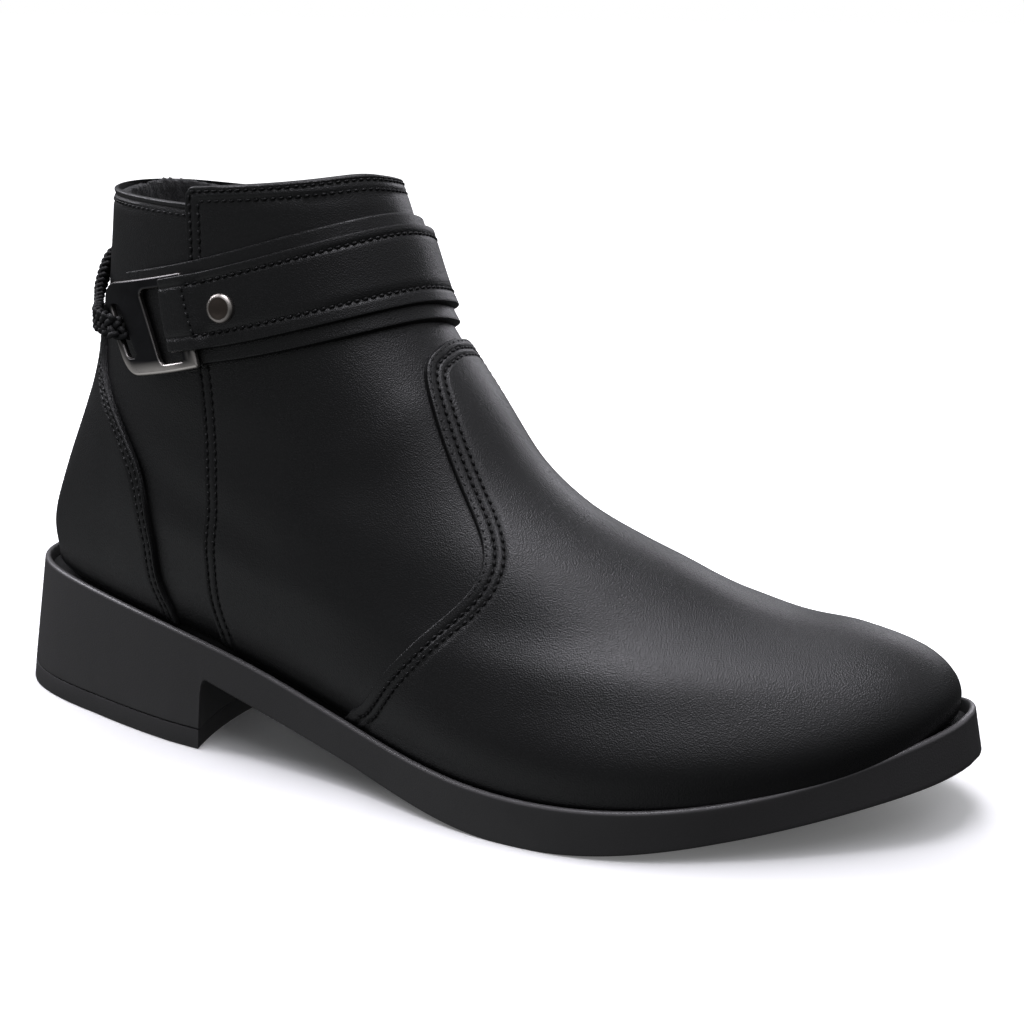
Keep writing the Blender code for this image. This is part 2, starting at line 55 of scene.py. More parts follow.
# The boot's own sizes, in millimetres: x from the heel back, y to the inner side of the foot, z up. The rim's
# height and the middle line go by x, the ledge's width by degrees round from the heel, the flare by x
MIDDLE = np.array([132.46, -1.31, 0.0])
RIM_X = [0, 40, 70, 95, 120, 145, 165, 185, 205, 225, 240, 252, 262]
RIM_Z = [37.2, 34.2, 30.7, 26.0, 19.8, 14.7, 12.3, 11.6, 12.2, 14.4, 17.6, 22.0, 27.6]
RISE = 1.0
LEDGE_DEGREES = [0, 30, 60, 90, 135, 160, 180, 200, 225, 270, 300, 330, 360]
LEDGE = [6.9, 5.3, 4.8, 4.8, 4.0, 3.0, 6.6, 7.8, 5.6, 5.0, 5.0, 6.6, 6.9]
FLARE_X = [0, 5, 18, 40, 70, 130, 225, 262, 268]
FLARE = [5.4, 5.2, 4.0, 2.7, 2.6, -0.3, -0.3, 1.8, 1.8]
BREAST_X = 80.0
BREAST_RAKE = 2.3
BREAST_HOLLOW = 6.0
BREAST_Z = 19.3
FLAT_FROM = 174.0
FLAT_TO = 186.0
SOLE_LENGTH = 268.0
TOE_SPRING = 15.5
LIFT = 5.3
GROOVE = 3.2
MID_X = [0, 40, 80, 105, 130, 160, 200, 235, 268]
MID_Y = [1.2, -2.5, -5.0, -5.0, -5.3, -5.2, 0.0, 7.5, 14.0]

# How far the upper tucks into the sole's groove and below which level, the height of the upper's levels in
# all, and millimetres in a metre
TUCK = 1.8
TUCK_LEVEL = 0.03
LEVEL_MM = 125.0
MM = 1000.0

# Details of the sole: ends of its loop, gap between its stations, end of the shank, the rise of its rim
# beyond the toe, edge roundings, rings of its lip as inset and depth, insets of its seat, and its tread
SOLE_ENDS = (-2.3, 267.45)
STATION_GAP = 0.35
SHANK_TO = 130.0
FAR_TOE = 198.0
FAR_TOE_WIDE = 16.0
FAR_TOE_RISE = 1.8
TREAD_EDGE = 0.5
LIP_ROUND = (0.9, 1.0)
LIP_RINGS = ((1.4, 0.08), (1.75, 0.4), (1.95, 1.1), (2.1, GROOVE))
SEAT_INSET = 0.6
SLOT_INSET = 3.7
TREAD_PITCH = 8.5
TREAD_SWAY = 2.5
TREAD_SWAY_LONG = 7.0
TREAD_DEEP = 1.3
TREAD_PARTS = ((128, 248), (14, 62))

# Wearing layer of the heel: rings as inset and height, depth of its tread, and its gap to the sole
LIFT_RINGS = ((0.6, 0.0), (0.18, 0.15), (0.0, 0.6), (-0.05, LIFT - 0.4), (0.08, LIFT - 0.1), (0.35, LIFT))
LIFT_TREAD = 1.0
LIFT_GAP = 0.12

# Footbed rings as inset and lift, rows of the lining up its back, over its top and down its face, its lowest
# and highest level, and the tufts that stand up beside the heel: place, half width, height and spread
FOOTBED_RINGS = ((3.0, 0.3), (3.0, 2.0), (3.3, 2.5), (3.9, 2.65))
LINING_ROWS = (10, 7, 120)
LINING_LEVELS = (0.03, 0.985)
TUFT_AT = -20.0
TUFT_WIDE = 20.0
TUFT_RISE = 1.4
TUFT_SPREAD = 2.5

# One row per level of the upper: level, back x, back z, front x, front z, dip, aside, and the half
# widths at 0, 30, 60, 90, 120, 150 and 180 degrees round from the heel
LEVELS = np.array([
    [0.00, 9.8, 36.0, 258.9, 26.4, 1.00, 0.0, 49.5, 35.0, 29.6, 32.8, 49.6, 51.9, 60.0],
    [0.10, 9.0, 44.0, 258.6, 31.4, 0.86, 0.0, 50.5, 37.6, 31.9, 35.0, 49.7, 52.2, 55.5],
    [0.20, 10.6, 50.5, 251.4, 36.9, 0.66, 0.0, 50.5, 39.0, 33.2, 35.0, 44.5, 46.0, 46.0],
    [0.30, 13.5, 57.5, 237.4, 40.9, 0.46, 0.1, 49.5, 39.6, 33.8, 34.2, 40.0, 41.0, 30.0],
    [0.40, 17.3, 66.0, 214.0, 45.4, 0.30, 0.3, 47.0, 39.4, 34.0, 33.4, 36.0, 38.0, 29.0],
    [0.50, 22.1, 76.0, 188.0, 56.6, 0.16, 0.7, 43.5, 38.2, 33.5, 32.4, 33.4, 35.5, 30.0],
    [0.60, 26.9, 86.5, 163.0, 71.5, 0.06, 1.4, 40.0, 36.6, 32.8, 31.4, 31.4, 33.5, 30.5],
    [0.70, 30.6, 98.0, 145.0, 91.0, 0.00, 2.1, 36.5, 34.8, 31.8, 30.4, 30.2, 32.2, 30.4],
    [0.80, 32.6, 111.0, 130.4, 109.5, 0.00, 2.7, 33.2, 33.2, 30.8, 29.4, 29.4, 31.2, 30.2],
    [0.90, 34.2, 125.0, 122.8, 126.5, 0.00, 3.1, 30.8, 31.8, 29.8, 28.4, 28.4, 30.2, 29.2],
    [1.00, 36.2, 138.5, 116.3, 142.5, 0.00, 3.3, 29.0, 30.6, 28.8, 27.4, 27.4, 29.4, 28.0],
])

# Degrees of those half widths, rise of the collar behind and in front, and the levels over which the normal
# turns at the feather line and the collar rises
WIDTH_DEGREES = [0, 30, 60, 90, 120, 150, 180]
REAR_DEGREES = [-90, -60, -30, 0, 30, 60, 90]
REAR_RISE = [-2.3, -1.2, 1.0, 2.1, 1.8, 0.5, -1.4]
FRONT_DEGREES = [90, 120, 150, 165, 180, 200, 230, 270]
FRONT_RISE = [2.8, 3.1, 3.85, 4.0, 3.1, 1.4, -0.9, -2.3]
FEATHER_FADE = 0.045
COLLAR = 0.07
COLLAR_STRIP = 0.03

# Steps, in degrees and levels, over which the slopes of the base surface are taken
TURN_STEP = 0.05
LEVEL_STEP = 0.001

# Distances of the layers outside the base surface
LINING = (-2.5, -1.08)
REAR = (-1.02, 0.0)
QUARTER = 1.1
VAMP = (1.14, 2.7)
COUNTER = (0.04, 1.6)
UNDER = (1.16, 3.0)
OVER = (3.05, 4.75)
FOLD = (5.25, 6.6)
PLATE = (3.2, 4.95)

# Panel edges, as degrees round from the heel at each level
COUNTER_LEVEL = [0.0, 0.08, 0.22, 0.36, 0.43, 0.49, 0.53, 0.57, 0.62, 0.66, 0.72, 0.80, 1.0]
COUNTER_DEGREES = [58.4, 57.2, 56.8, 57.5, 57.9, 57.2, 55.6, 52.4, 45.8, 39.6, 33.5, 29.0, 26.0]
COUNTER_TOP = 0.79
SEAM_LEVEL = [0.0, 0.18, 0.30, 0.49, 0.61, 0.725, 0.914, 1.0]
SEAM_DEGREES = [66.6, 66.4, 67.9, 74.9, 80.7, 84.6, 88.9, 90.2]
VAMP_EDGE = np.array([
    (86.5, 0.0), (89.2, 0.06), (94.5, 0.19), (102.5, 0.312), (113.0, 0.400), (125.3, 0.467),
    (134.5, 0.514), (142.5, 0.568), (147.5, 0.62), (151.0, 0.67), (154.4, 0.71), (158.0, 0.737),
    (162.5, 0.755), (170.0, 0.7675), (178.0, 0.774), (184.0, 0.775),
])
VAMP_INNER = np.array([
    (273.5, 0.0), (265.0, 0.19), (257.0, 0.312), (247.0, 0.40), (235.0, 0.467), (226.0, 0.514),
    (221.0, 0.55), (217.5, 0.60), (215.0, 0.67), (213.0, 0.72), (209.0, 0.745), (202.0, 0.760),
    (193.5, 0.770), (184.0, 0.775),
])

# How far the rear panel runs under the quarter, the quarter's rounded top corner by level and degrees, and
# its inner face over the rear panel and past it, with the degrees from its edge between them
REAR_LAP = 7.0
CORNER_FROM = 0.978
CORNER_DEGREES = 3.6
QUARTER_INSIDE = (0.03, -1.02)
QUARTER_LAP = (9, 15)

# Straps, plate, rivet and cord. A point of the cord's route has degrees, level, distance and lean
STRAP_DEGREES = [55, 90, 120, 150, 175, 205, 240, 270, 305]
STRAP_LEVEL = [0.785, 0.818, 0.853, 0.878, 0.883, 0.862, 0.830, 0.802, 0.780]
UNDER_HALF = 0.079
OVER_HALF = 0.058
UNDER_ENDS = (66.0, 300.0)
UNDER_SLANT = 4.5
UNDER_SETTLE = 0.7
SETTLE_DEGREES = (88, 74)
OVER_ENDS = (83.0, 291.0)
FOLD_AT = 90.0
PLATE_LEFT = (52.0, 63.0)
PLATE_RIGHT = 89.0
PLATE_LOW = (0.098, 0.083)
PLATE_HIGH = 0.063
PLATE_SIZE = (33.0, 24.5)
PLATE_CORNER = 5.0
PLATE_POLISH = 3.4
RIVET_DEGREES = 101.4
RIVET_LEVEL = 0.828
CORD_PATH = np.array([
    (301.6, 0.782, 2.5, 0.0), (316.0, 0.806, 2.2, 0.0), (333.0, 0.838, 2.1, 0.0), (348.0, 0.860, 2.1, 0.0),
    (362.0, 0.868, 2.1, 0.0), (373.0, 0.862, 2.1, 0.0), (381.0, 0.846, 2.1, 0.0), (387.5, 0.827, 2.3, 0.0),
    (394.0, 0.809, 2.8, 0.0), (400.0, 0.797, 3.3, 0.0), (405.5, 0.789, 4.5, 0.0), (409.5, 0.785, 6.1, 0.0),
    (412.5, 0.783, 6.9, 0.5), (416.0, 0.781, 7.0, 1.0), (419.0, 0.778, 6.85, 1.5), (420.8, 0.776, 5.9, 1.7),
    (421.4, 0.775, 4.5, 1.7), (421.45, 0.775, 2.8, 1.7), (421.45, 0.775, 0.8, 1.7),
])

# Outline and slots of the plate: shares along and up, and corner radius
PLATE_OUTLINES = (
    ((0, 0, PLATE_CORNER), (1, 0, 0.9), (1, 1, 0.9), (0, 1, 6.0)),
    ((0.095, 0.19, 1.3), (0.095, 0.75, 1.3), (0.235, 0.75, 2.4), (0.235, 0.19, 1.6)),
    ((0.54, 0.09, 1.8), (0.54, 0.88, 1.8), (0.84, 0.88, 0.6), (0.84, 0.09, 0.6)),
)

# Profile of the rivet: radius and height
RIVET_PROFILE = np.array([
    (0.0, -0.2), (3.6, -0.2), (3.65, 0.25), (3.55, 0.62), (3.25, 0.95), (2.9, 1.12), (2.75, 1.05),
    (2.6, 1.06), (1.8, 1.24), (0.9, 1.33), (0.0, 1.36),
])

# Braid of the cord: strands, length of a repeat, swing across and over, and half sizes of a strand
STRANDS = 5
BRAID_REPEAT = 11.5
BRAID_SWING = 2.3
BRAID_OVER = 0.72
STRAND_HALF = (0.86, 0.6)

# One stitch: place along its half length, then thickness and height in half threads. Its half length is a
# share of the pitch, and its trough has a half width
STITCH = np.array([
    (-1.0, 0.0, -1.6), (-0.85, 0.75, -0.7), (-0.45, 1.0, 0.3),
    (0.45, 1.0, 0.3), (0.85, 0.75, -0.7), (1.0, 0.0, -1.6),
])
STITCH_HALF = 0.42
STITCH_SLANT = 0.12
TROUGH_WIDE = 0.5

# Distances of the stitch rows from the edge that they follow
VAMP_ROWS = (0.9, 2.8, 4.9)
SEAM_ROWS = (1.3, 3.8)
REAR_ROWS = (3.0,)
REAR_FOLD = 1.5
COUNTER_ROWS = (1.4, 3.3)
STRAP_ROWS = (2.7, 3.7)

# Soft creases, and the fullness of the toe: degrees and level of both ends, height and half width
CREASES = (
    (60, 0.50, 84, 0.44, -0.45, 6.0),
    (62, 0.36, 90, 0.33, 0.40, 7.0),
    (70, 0.62, 118, 0.60, -0.35, 7.0),
    (22, 0.22, 30, 0.55, 0.45, 5.0),
    (44, 0.18, 46, 0.52, -0.45, 6.0),
    (112, 0.62, 146, 0.70, 0.35, 6.0),
    (282, 0.47, 306, 0.42, -0.45, 6.0),
    (252, 0.60, 290, 0.58, -0.35, 7.0),
    (202, 0.446, 206, 0.387, 1.6, 15.0),
    (198, 0.275, 192, 0.19, 2.0, 12.5),
    (205, 0.61, 205, 0.56, -0.8, 12.0),
)

# Distances in millimetres, from an edge inwards, of the columns of a leather panel
NEAR = np.array([0, 0.06, 0.16, 0.32, 0.55, 0.9, 1.3, 1.8, 2.3, 2.8, 3.3, 3.8, 4.4, 5.0, 5.6, 6.4, 7.4])

# Stage, in metres: the camera, and softboxes by turn round the boot, angle above the floor, size and watts
CAMERA_AT = (0.25287, -0.41256, 0.1914)
CAMERA_TO = (0.01457, 0.00924, 0.0616)
SENSOR = 36.0
FLOOR_HALF = 9.0
SOFTBOXES = (
    ("top_softbox", 0, 90, 0.6, 7.6),
    ("front_softbox", 330, 62, 0.9, 2.2),
    ("side_softbox", 275, 64, 0.6, 1.1),
    ("back_softbox", 125, 60, 0.6, 3.0),
    ("heel_softbox", 180, 38, 0.6, 7.0),
    ("low_softbox", 90, 16, 0.5, 1.6),
    ("far_softbox", 45, 36, 0.6, 0.5),
)
SOFTBOX_AWAY = 1.2
SOFTBOX_COLOUR = (1.0, 0.985, 1.06)
SOFTBOX_TO = Vector((0.0, 0.0, 0.07))


def spline(knots, values, at):
    """Natural cubic spline through values, one row for each knot, read at each place in at."""
    knots = np.asarray(knots, float)
    values = np.asarray(values, float)
    at = np.asarray(at, float)
    count = len(knots)
    gap = np.diff(knots)
    flat = values.reshape(count, -1)
    matrix = np.eye(count)
    right = np.zeros_like(flat)
    for i in range(1, count - 1):
        matrix[i, i - 1] = gap[i - 1]
        matrix[i, i] = 2 * (gap[i - 1] + gap[i])
        matrix[i, i + 1] = gap[i]
        right[i] = 6 * ((flat[i + 1] - flat[i]) / gap[i] - (flat[i] - flat[i - 1]) / gap[i - 1])
    bend = np.linalg.solve(matrix, right)
    place = np.clip(np.searchsorted(knots, at, side="right") - 1, 0, count - 2)
    step = gap[place][..., None]
    a = (knots[place + 1][..., None] - at[..., None]) / step
    b = 1 - a
    curve = a * flat[place] + b * flat[place + 1]
    curve = curve + ((a**3 - a) * bend[place] + (b**3 - b) * bend[place + 1]) * step**2 / 6
    return curve.reshape(at.shape + values.shape[1:])


def unit(vectors):
    return vectors / np.maximum(np.linalg.norm(vectors, axis=-1, keepdims=True), 1e-12)


def ramp(value, start, end):
    """0 up to start, 1 from end on, and even between. It falls where end lies below start."""
    return np.clip((value - start) / (end - start), 0, 1)


def bell(distance, wide):
    """1 at no distance, falling away as a bell curve of this half width."""
    return np.exp(-((distance / wide) ** 2))


def lengths(path):
    """Length along a path, or along each path of a stack, up to each of its points."""
    steps = np.linalg.norm(np.diff(path, axis=-2), axis=-1)
    return np.concatenate([np.zeros_like(steps[..., :1]), np.cumsum(steps, axis=-1)], -1)


def read_at(places, knots, values):
    """The columns of values, one row for each knot, read at each place by straight lines."""
    return np.stack([np.interp(places, knots, column) for column in values.T], -1)


def paired(degrees, level):
    return np.broadcast_arrays(np.asarray(degrees, float), np.asarray(level, float))


def rim_z(x):
    return spline(RIM_X, RIM_Z, np.clip(x, 0, RIM_X[-1]))


def mid_y(x):
    return spline(MID_X, MID_Y, np.clip(x, 0, SOLE_LENGTH))


def half_turn(degrees):
    """Degrees round from the heel on either side, 0 at the heel and 180 at the toe."""
    return 180 - np.abs(180 - np.mod(degrees, 360))


def from_heel(degrees):
    """Degrees round from the heel, below 0 on the inner side."""
    return np.mod(np.asarray(degrees, float) + 180, 360) - 180


def base(degrees, level):
    """The upper's base surface: a ring at each level runs from a back point to a front point, its width
    is a spline of half widths times the sine of the turn, and its height adds a share of the feather
    line's curve. 0 to 180 degrees is the outer side, 180 to 360 the inner."""
    degrees, level = paired(degrees, level)
    row = spline(LEVELS[:, 0], LEVELS[:, 1:], level)
    back_x, back_z, front_x, front_z, dip, aside = np.moveaxis(row[..., :6], -1, 0)
    half = half_turn(degrees)
    along = (1 - np.cos(np.radians(half))) / 2
    weights = spline(WIDTH_DEGREES, np.eye(len(WIDTH_DEGREES)), half)
    wide = (weights * row[..., 6:]).sum(-1) * np.sin(np.radians(half))
    x = back_x + (front_x - back_x) * along
    low_x, low_z, tip_x, tip_z = LEVELS[0, 1:5]
    feather = rim_z(low_x + (tip_x - low_x) * along) + RISE - (low_z + (tip_z - low_z) * along)
    z = back_z + (front_z - back_z) * along + dip * feather
    side = np.where(np.mod(degrees, 360) <= 180, -1.0, 1.0)
    return np.stack([x, mid_y(x) + aside + side * wide, z], -1)


def slopes(degrees, level):
    """How the base surface runs on per degree and per level, from a step to both sides."""
    low, high = np.maximum(level - LEVEL_STEP, 0), np.minimum(level + LEVEL_STEP, 1)
    per_degree = (base(degrees + TURN_STEP, level) - base(degrees - TURN_STEP, level)) / (2 * TURN_STEP)
    return per_degree, (base(degrees, high) - base(degrees, low)) / (high - low)[..., None]


def normal(degrees, level):
    """Outward unit normal of the base surface, turned level towards the feather line and the collar."""
    degrees, level = paired(degrees, level)
    out = unit(np.cross(*slopes(degrees, level)))
    out[..., 2] *= np.minimum(ramp(level, 0, FEATHER_FADE), ramp(level, 1, 1 - COLLAR))
    return unit(out)


def shell(degrees, level, distance, rise=0.0):
    """A point this far outside the base surface. The collar is raised over its top part."""
    degrees, level = paired(degrees, level)
    point = base(degrees, level) + normal(degrees, level) * np.asarray(distance, float)[..., None]
    point[..., 2] += rise * ramp(level, 1 - COLLAR, 1)
    return point


def rear_rise(degrees):
    return spline(REAR_DEGREES, REAR_RISE, np.clip(from_heel(degrees), -90, 90))


def front_rise(degrees):
    return spline(FRONT_DEGREES, FRONT_RISE, np.clip(degrees, 90, 270))


def plan_outward(degrees):
    return normal(degrees, np.zeros_like(np.asarray(degrees, float)))[..., :2]


def feather_ring(degrees, inset, lift=0.0):
    """The feather line moved inwards in plan and up."""
    point = base(degrees, 0.0)
    point[..., :2] -= plan_outward(degrees) * inset
    point[..., 2] += lift
    return point


def rim_ring(degrees):
    """The outer edge of the sole's rim: the feather line moved out by the ledge's width, and down."""
    wide = spline(LEDGE_DEGREES, LEDGE, np.mod(degrees, 360))
    return feather_ring(degrees, -wide[..., None], -RISE)


def tread_z(x):
    """Height of the sole's underside in front of the heel: arch, flat and toe spring."""
    s = ramp(x, BREAST_X, FLAT_FROM)
    return BREAST_Z * (1 - s) ** 1.75 * (1 + 0.6 * s) + TOE_SPRING * ramp(x, FLAT_TO, SOLE_LENGTH) ** 1.63


def flared(degrees):
    """The rim edge in plan, moved out by the flare of the sole's side."""
    rim = rim_ring(degrees)
    flare = np.interp(rim[..., 0], FLARE_X, FLARE)
    return rim[..., :2] + plan_outward(degrees) * flare[..., None]


def stations(first, last, count):
    """Places along the sole, spread as a half cosine wave so that they lie closer at both ends."""
    return first + (last - first) * (1 - np.cos(np.linspace(0, np.pi, count)[1:-1])) / 2


def sole_loop(places):
    """Degrees of a loop round the sole: heel back, outer side at each x, toe tip, inner side back."""
    fine = np.linspace(0, 180, 1441)
    outer = np.maximum.accumulate(flared(fine)[:, 0])
    inner = np.maximum.accumulate(flared(360 - fine)[:, 0])
    outer_at = np.interp(places, outer, fine)
    inner_at = 360 - np.interp(places, inner, fine)
    return np.concatenate([[0.0], outer_at, [180.0], inner_at[::-1]])


def grid_faces(rows, columns, wrap_columns=False, wrap_rows=False):
    """Quads of a grid of points that are numbered row by row."""
    i = np.arange(rows if wrap_rows else rows - 1)[:, None]
    j = np.arange(columns if wrap_columns else columns - 1)[None, :]
    after_i = (i + 1) % rows
    after_j = (j + 1) % columns
    corners = (i * columns + j, i * columns + after_j, after_i * columns + after_j, after_i * columns + j)
    return np.stack(np.broadcast_arrays(*corners), -1).reshape(-1, 4)


def coordinates(mesh):
    """Places of a mesh's points, a row for each."""
    co = np.empty(len(mesh.vertices) * 3)
    mesh.vertices.foreach_get("co", co)
    return co.reshape(-1, 3)


def paint(mesh, name, values):
    """Stores a number at each point of a mesh, for a material to read by this name."""
    mesh.attributes.new(name, "FLOAT", "POINT").data.foreach_set("value", values.ravel())


def add_piece(name, patches, material, replaced=(), crease=40.0, dark=None):
    """One mesh from patches of points in the boot's millimetres. A patch is a grid, or many like grids
    stacked, with whether its columns and its rows close on themselves. Borders that meet are joined,
    and the faces are turned outwards. dark gives each point's painted shade in a stitch row or a groove,
    and below 0 its painted highlight on the top of the sole's lip."""
    points = []
    faces = []
    start = 0
    for grid, *wraps in patches:
        stacked = grid if grid.ndim == 4 else grid[None]
        count, rows, columns = stacked.shape[:3]
        quads = grid_faces(rows, columns, *wraps)[None] + np.arange(count)[:, None, None] * rows * columns
        points.append(stacked.reshape(-1, 3))
        faces.append(quads.reshape(-1, 4) + start)
        start += count * rows * columns
    points = (np.concatenate(points) - MIDDLE) / MM
    mesh = bpy.data.meshes.new(name)
    mesh.from_pydata(points.tolist(), [], np.concatenate(faces).tolist())
    # Painted shade, and below 0 painted highlight, stored for the material to read
    if dark is not None:
        paint(mesh, "dark", dark)
    work = bmesh.new()
    work.from_mesh(mesh)
    bmesh.ops.remove_doubles(work, verts=work.verts[:], dist=1.5e-6)
    bmesh.ops.recalc_face_normals(work, faces=work.faces[:])
    work.to_mesh(mesh)
    work.free()
    return finish_piece(name, mesh, material, replaced, crease)


def finish_piece(name, mesh, material, replaced, crease):
    mesh.shade_smooth()
    mesh.set_sharp_from_angle(angle=math.radians(crease))
    mesh.materials.append(material)
    made = bpy.data.objects.new(name, mesh)
    bpy.context.scene.collection.objects.link(made)
    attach(made, "root")
    if replaced:
        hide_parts(*replaced)
    return made


def border(grid, *sides):
    """A polyline along the named sides of a grid of points."""
    found = {"left": grid[:, 0], "top": grid[-1], "right": grid[::-1, -1], "bottom": grid[0, ::-1]}
    return np.concatenate([found[side] for side in sides])


def edge_distance(points, outline):
    """Distance of each point from a polyline, by the two stretches beside its nearest corner."""
    flat = points.reshape(-1, 3)
    found = np.empty(len(flat))
    last = len(outline) - 2
    for block in np.array_split(np.arange(len(flat)), 1 + len(flat) // 4000):
        p = flat[block]
        nearest = ((outline**2).sum(1) - 2 * p @ outline.T).argmin(1)
        gaps = []
        for shift in (-1, 0):
            at = np.clip(nearest + shift, 0, last)
            start = outline[at]
            along = outline[at + 1] - start
            share = ((p - start) * along).sum(1) / np.maximum((along**2).sum(1), 1e-12)
            gaps.append(np.linalg.norm(p - start - along * np.clip(share, 0, 1)[:, None], axis=1))
        found[block] = np.minimum(*gaps)
    return found.reshape(points.shape[:-1])


def rounded(share):
    """Rise of a cut edge: 0 at the edge, 1 once share reaches 1, on a superellipse."""
    inside = 1 - np.clip(share, 0, 1)
    return (1 - inside**2.4) ** (1 / 2.4)


def creased(points):
    """Soft troughs and ridges: each fades as a bell curve with the distance from its own line."""
    moved = np.zeros(points.shape[:-1])
    share = np.linspace(0, 1, 12)
    for first, first_level, last, last_level, high, wide in CREASES:
        line = base(first + (last - first) * share, first_level + (last_level - first_level) * share)
        moved += high * bell(edge_distance(points, line), wide)
    return moved


def columns_across(start, end, levels, middle):
    """Degrees along each row from start to end: at the NEAR distances from both ends, even between."""
    share = np.linspace(0, 1, 301)
    fine = start[:, None] + (end - start)[:, None] * share
    length = lengths(base(fine, levels[:, None]))
    total = length[:, -1:]
    first = NEAR * np.minimum(1, total / (2.2 * NEAR[-1]))
    even = np.linspace(0, 1, middle + 2)[1:-1]
    inner = first[:, -1:] + (total - 2 * first[:, -1:]) * even
    wanted = np.concatenate([first, inner, total - first[:, ::-1]], 1)
    return np.stack([np.interp(w, l, f) for w, l, f in zip(wanted, length, fine)])


def leather_sheet(degrees, levels, layer, sizes, seam, rows, rise=0.0):
    """Both faces of a leather panel, and how near each point is to a stitch row, which the material
    shows as painted shade. The outer face rounds down to the inner one at the border, dips in a trough
    along each stitch row beside the named sides, carries the soft creases, and tucks down into the
    sole's groove."""
    inside, outside = layer
    lying = shell(degrees, levels, np.zeros_like(degrees), rise)
    gap = edge_distance(lying, border(lying, "left", "top", "right", "bottom"))
    lift = rounded(gap / (sizes.edge_round * MM))
    beside = edge_distance(lying, border(lying, *seam))
    sewn = sum(bell(beside - row, TROUGH_WIDE) for row in rows)
    top = outside + creased(lying) - sizes.trough_deep * MM * sewn
    outer = shell(degrees, levels, inside + (top - inside) * lift, rise)
    back = shell(degrees, levels, np.broadcast_to(inside, degrees.shape), rise)
    for face in (outer, back):
        face[..., 2] -= TUCK * ramp(levels, TUCK_LEVEL, 0)
    # sewn goes on the outer face as the painted shade of the stitch rows
    return [(outer,), (back,)], np.stack([sewn, np.zeros_like(sewn)])


def level_rows(high, count):
    """Levels from the feather line up to high, closer together near both borders."""
    near = NEAR[1:9] / LEVEL_MM
    clear = near[-1] * 1.3
    rows = np.linspace(0, high, count)
    rows = rows[(rows > clear) & (rows < high - clear)]
    return np.concatenate([[0], near, rows, high - near[::-1], [high]])


def seam_at(level):
    return spline(SEAM_LEVEL, SEAM_DEGREES, level)


def counter_at(level):
    return spline(COUNTER_LEVEL, COUNTER_DEGREES, level)


def vamp_outline(count):
    """Degrees and levels along the vamp's outer edge, evenly spaced, from the sole to the top."""
    knots = lengths(VAMP_EDGE * [1, LEVEL_MM])
    fine = spline(knots, VAMP_EDGE, np.linspace(0, knots[-1], 1200))
    length = lengths(base(*fine.T))
    return read_at(np.linspace(0, length[-1], count), length, fine).T


def vamp_inner(level):
    """Degrees of the vamp's edge on the inner side of the foot."""
    return spline(VAMP_INNER[:, 1], VAMP_INNER[:, 0], level)


def inset_curve(degrees, level, inset):
    """The curve moved sideways over the base surface, to the left of its run seen from outside."""
    ahead = unit(np.gradient(base(degrees, level), axis=0))
    side = np.cross(normal(degrees, level), ahead)
    per_degree, per_level = slopes(degrees, level)
    dd, dl, ll = (per_degree**2).sum(1), (per_degree * per_level).sum(1), (per_level**2).sum(1)
    toward_d, toward_l = (per_degree * side).sum(1), (per_level * side).sum(1)
    scale = inset / (dd * ll - dl**2)
    return degrees + (toward_d * ll - toward_l * dl) * scale, level + (toward_l * dd - toward_d * dl) * scale


def stitch_grids(path, out, sizes):
    """Stitches along a path: each is a short thread that bows up in the middle and dives into its holes at
    both ends, lying at a small slant to the row."""
    length = lengths(path)
    pitch = sizes.stitch_pitch * MM
    thick = sizes.thread_wide * MM / 2
    count = max(1, int(round(length[-1] / pitch)))
    at = (np.arange(count) + 0.5) * length[-1] / count
    up = unit(read_at(at, length, out))
    ahead = unit(read_at(at + 0.4, length, path) - read_at(at - 0.4, length, path))
    ahead = unit(ahead + STITCH_SLANT * np.cross(up, ahead))
    along, wide, bow = (STITCH * [pitch * STITCH_HALF, thick, thick]).T[..., None]
    turn = np.radians(np.arange(0, 360, 60))
    made = read_at(at, length, path)[:, None, None]
    for vectors, amounts in (
        (ahead, along + 0 * turn),
        (np.cross(up, ahead), wide * np.cos(turn)),
        (up, bow + wide * np.sin(turn)),
    ):
        made = made + vectors[:, None, None] * amounts[..., None]
    return made


def stitch_row(degrees, level, distance, sizes, rise=np.zeros_like):
    """Stitches along a curve on a layer of the upper. rise gives the collar's height from the degrees."""
    steps = np.arange(len(degrees))
    knots = np.stack([degrees, level, np.broadcast_to(distance, steps.shape)], -1)
    degrees, level, distance = read_at(np.linspace(0, steps[-1], 900), steps, knots).T
    level = np.clip(level, 0.0, 1.0)
    distance = distance + creased(base(degrees, level))
    return stitch_grids(shell(degrees, level, distance, rise(degrees)), normal(degrees, level), sizes)


def below_collar(degrees, row, rise):
    """Levels this far down from the collar's edge, by the length of its top strip."""
    flat = np.zeros_like(degrees)
    top, under = (shell(degrees, level, flat, rise(degrees)) for level in (1.0, 1 - COLLAR_STRIP))
    return 1 - COLLAR_STRIP * row / np.linalg.norm(top - under, axis=-1)


def strap_middle(degrees):
    return spline(STRAP_DEGREES, STRAP_LEVEL, degrees)


def millimetres_per_level(degrees):
    middle = strap_middle(degrees)
    return np.linalg.norm(base(degrees, middle + 0.05) - base(degrees, middle - 0.05), axis=-1) / 0.1


# Materials


def feed(tree, node, inputs):
    """Sets each named input of a node to a value, or links it to another node's output."""
    for socket, value in inputs.items():
        if isinstance(value, bpy.types.NodeSocket):
            tree.links.new(value, node.inputs[socket])
        else:
            node.inputs[socket].default_value = value


def add_node(tree, kind, output, inputs=None, **settings):
    """One output of a new shader node with these settings and inputs."""
    node = tree.nodes.new("ShaderNode" + kind)
    for name, value in settings.items():
        setattr(node, name, value)
    feed(tree, node, inputs or {})
    return node.outputs[output]


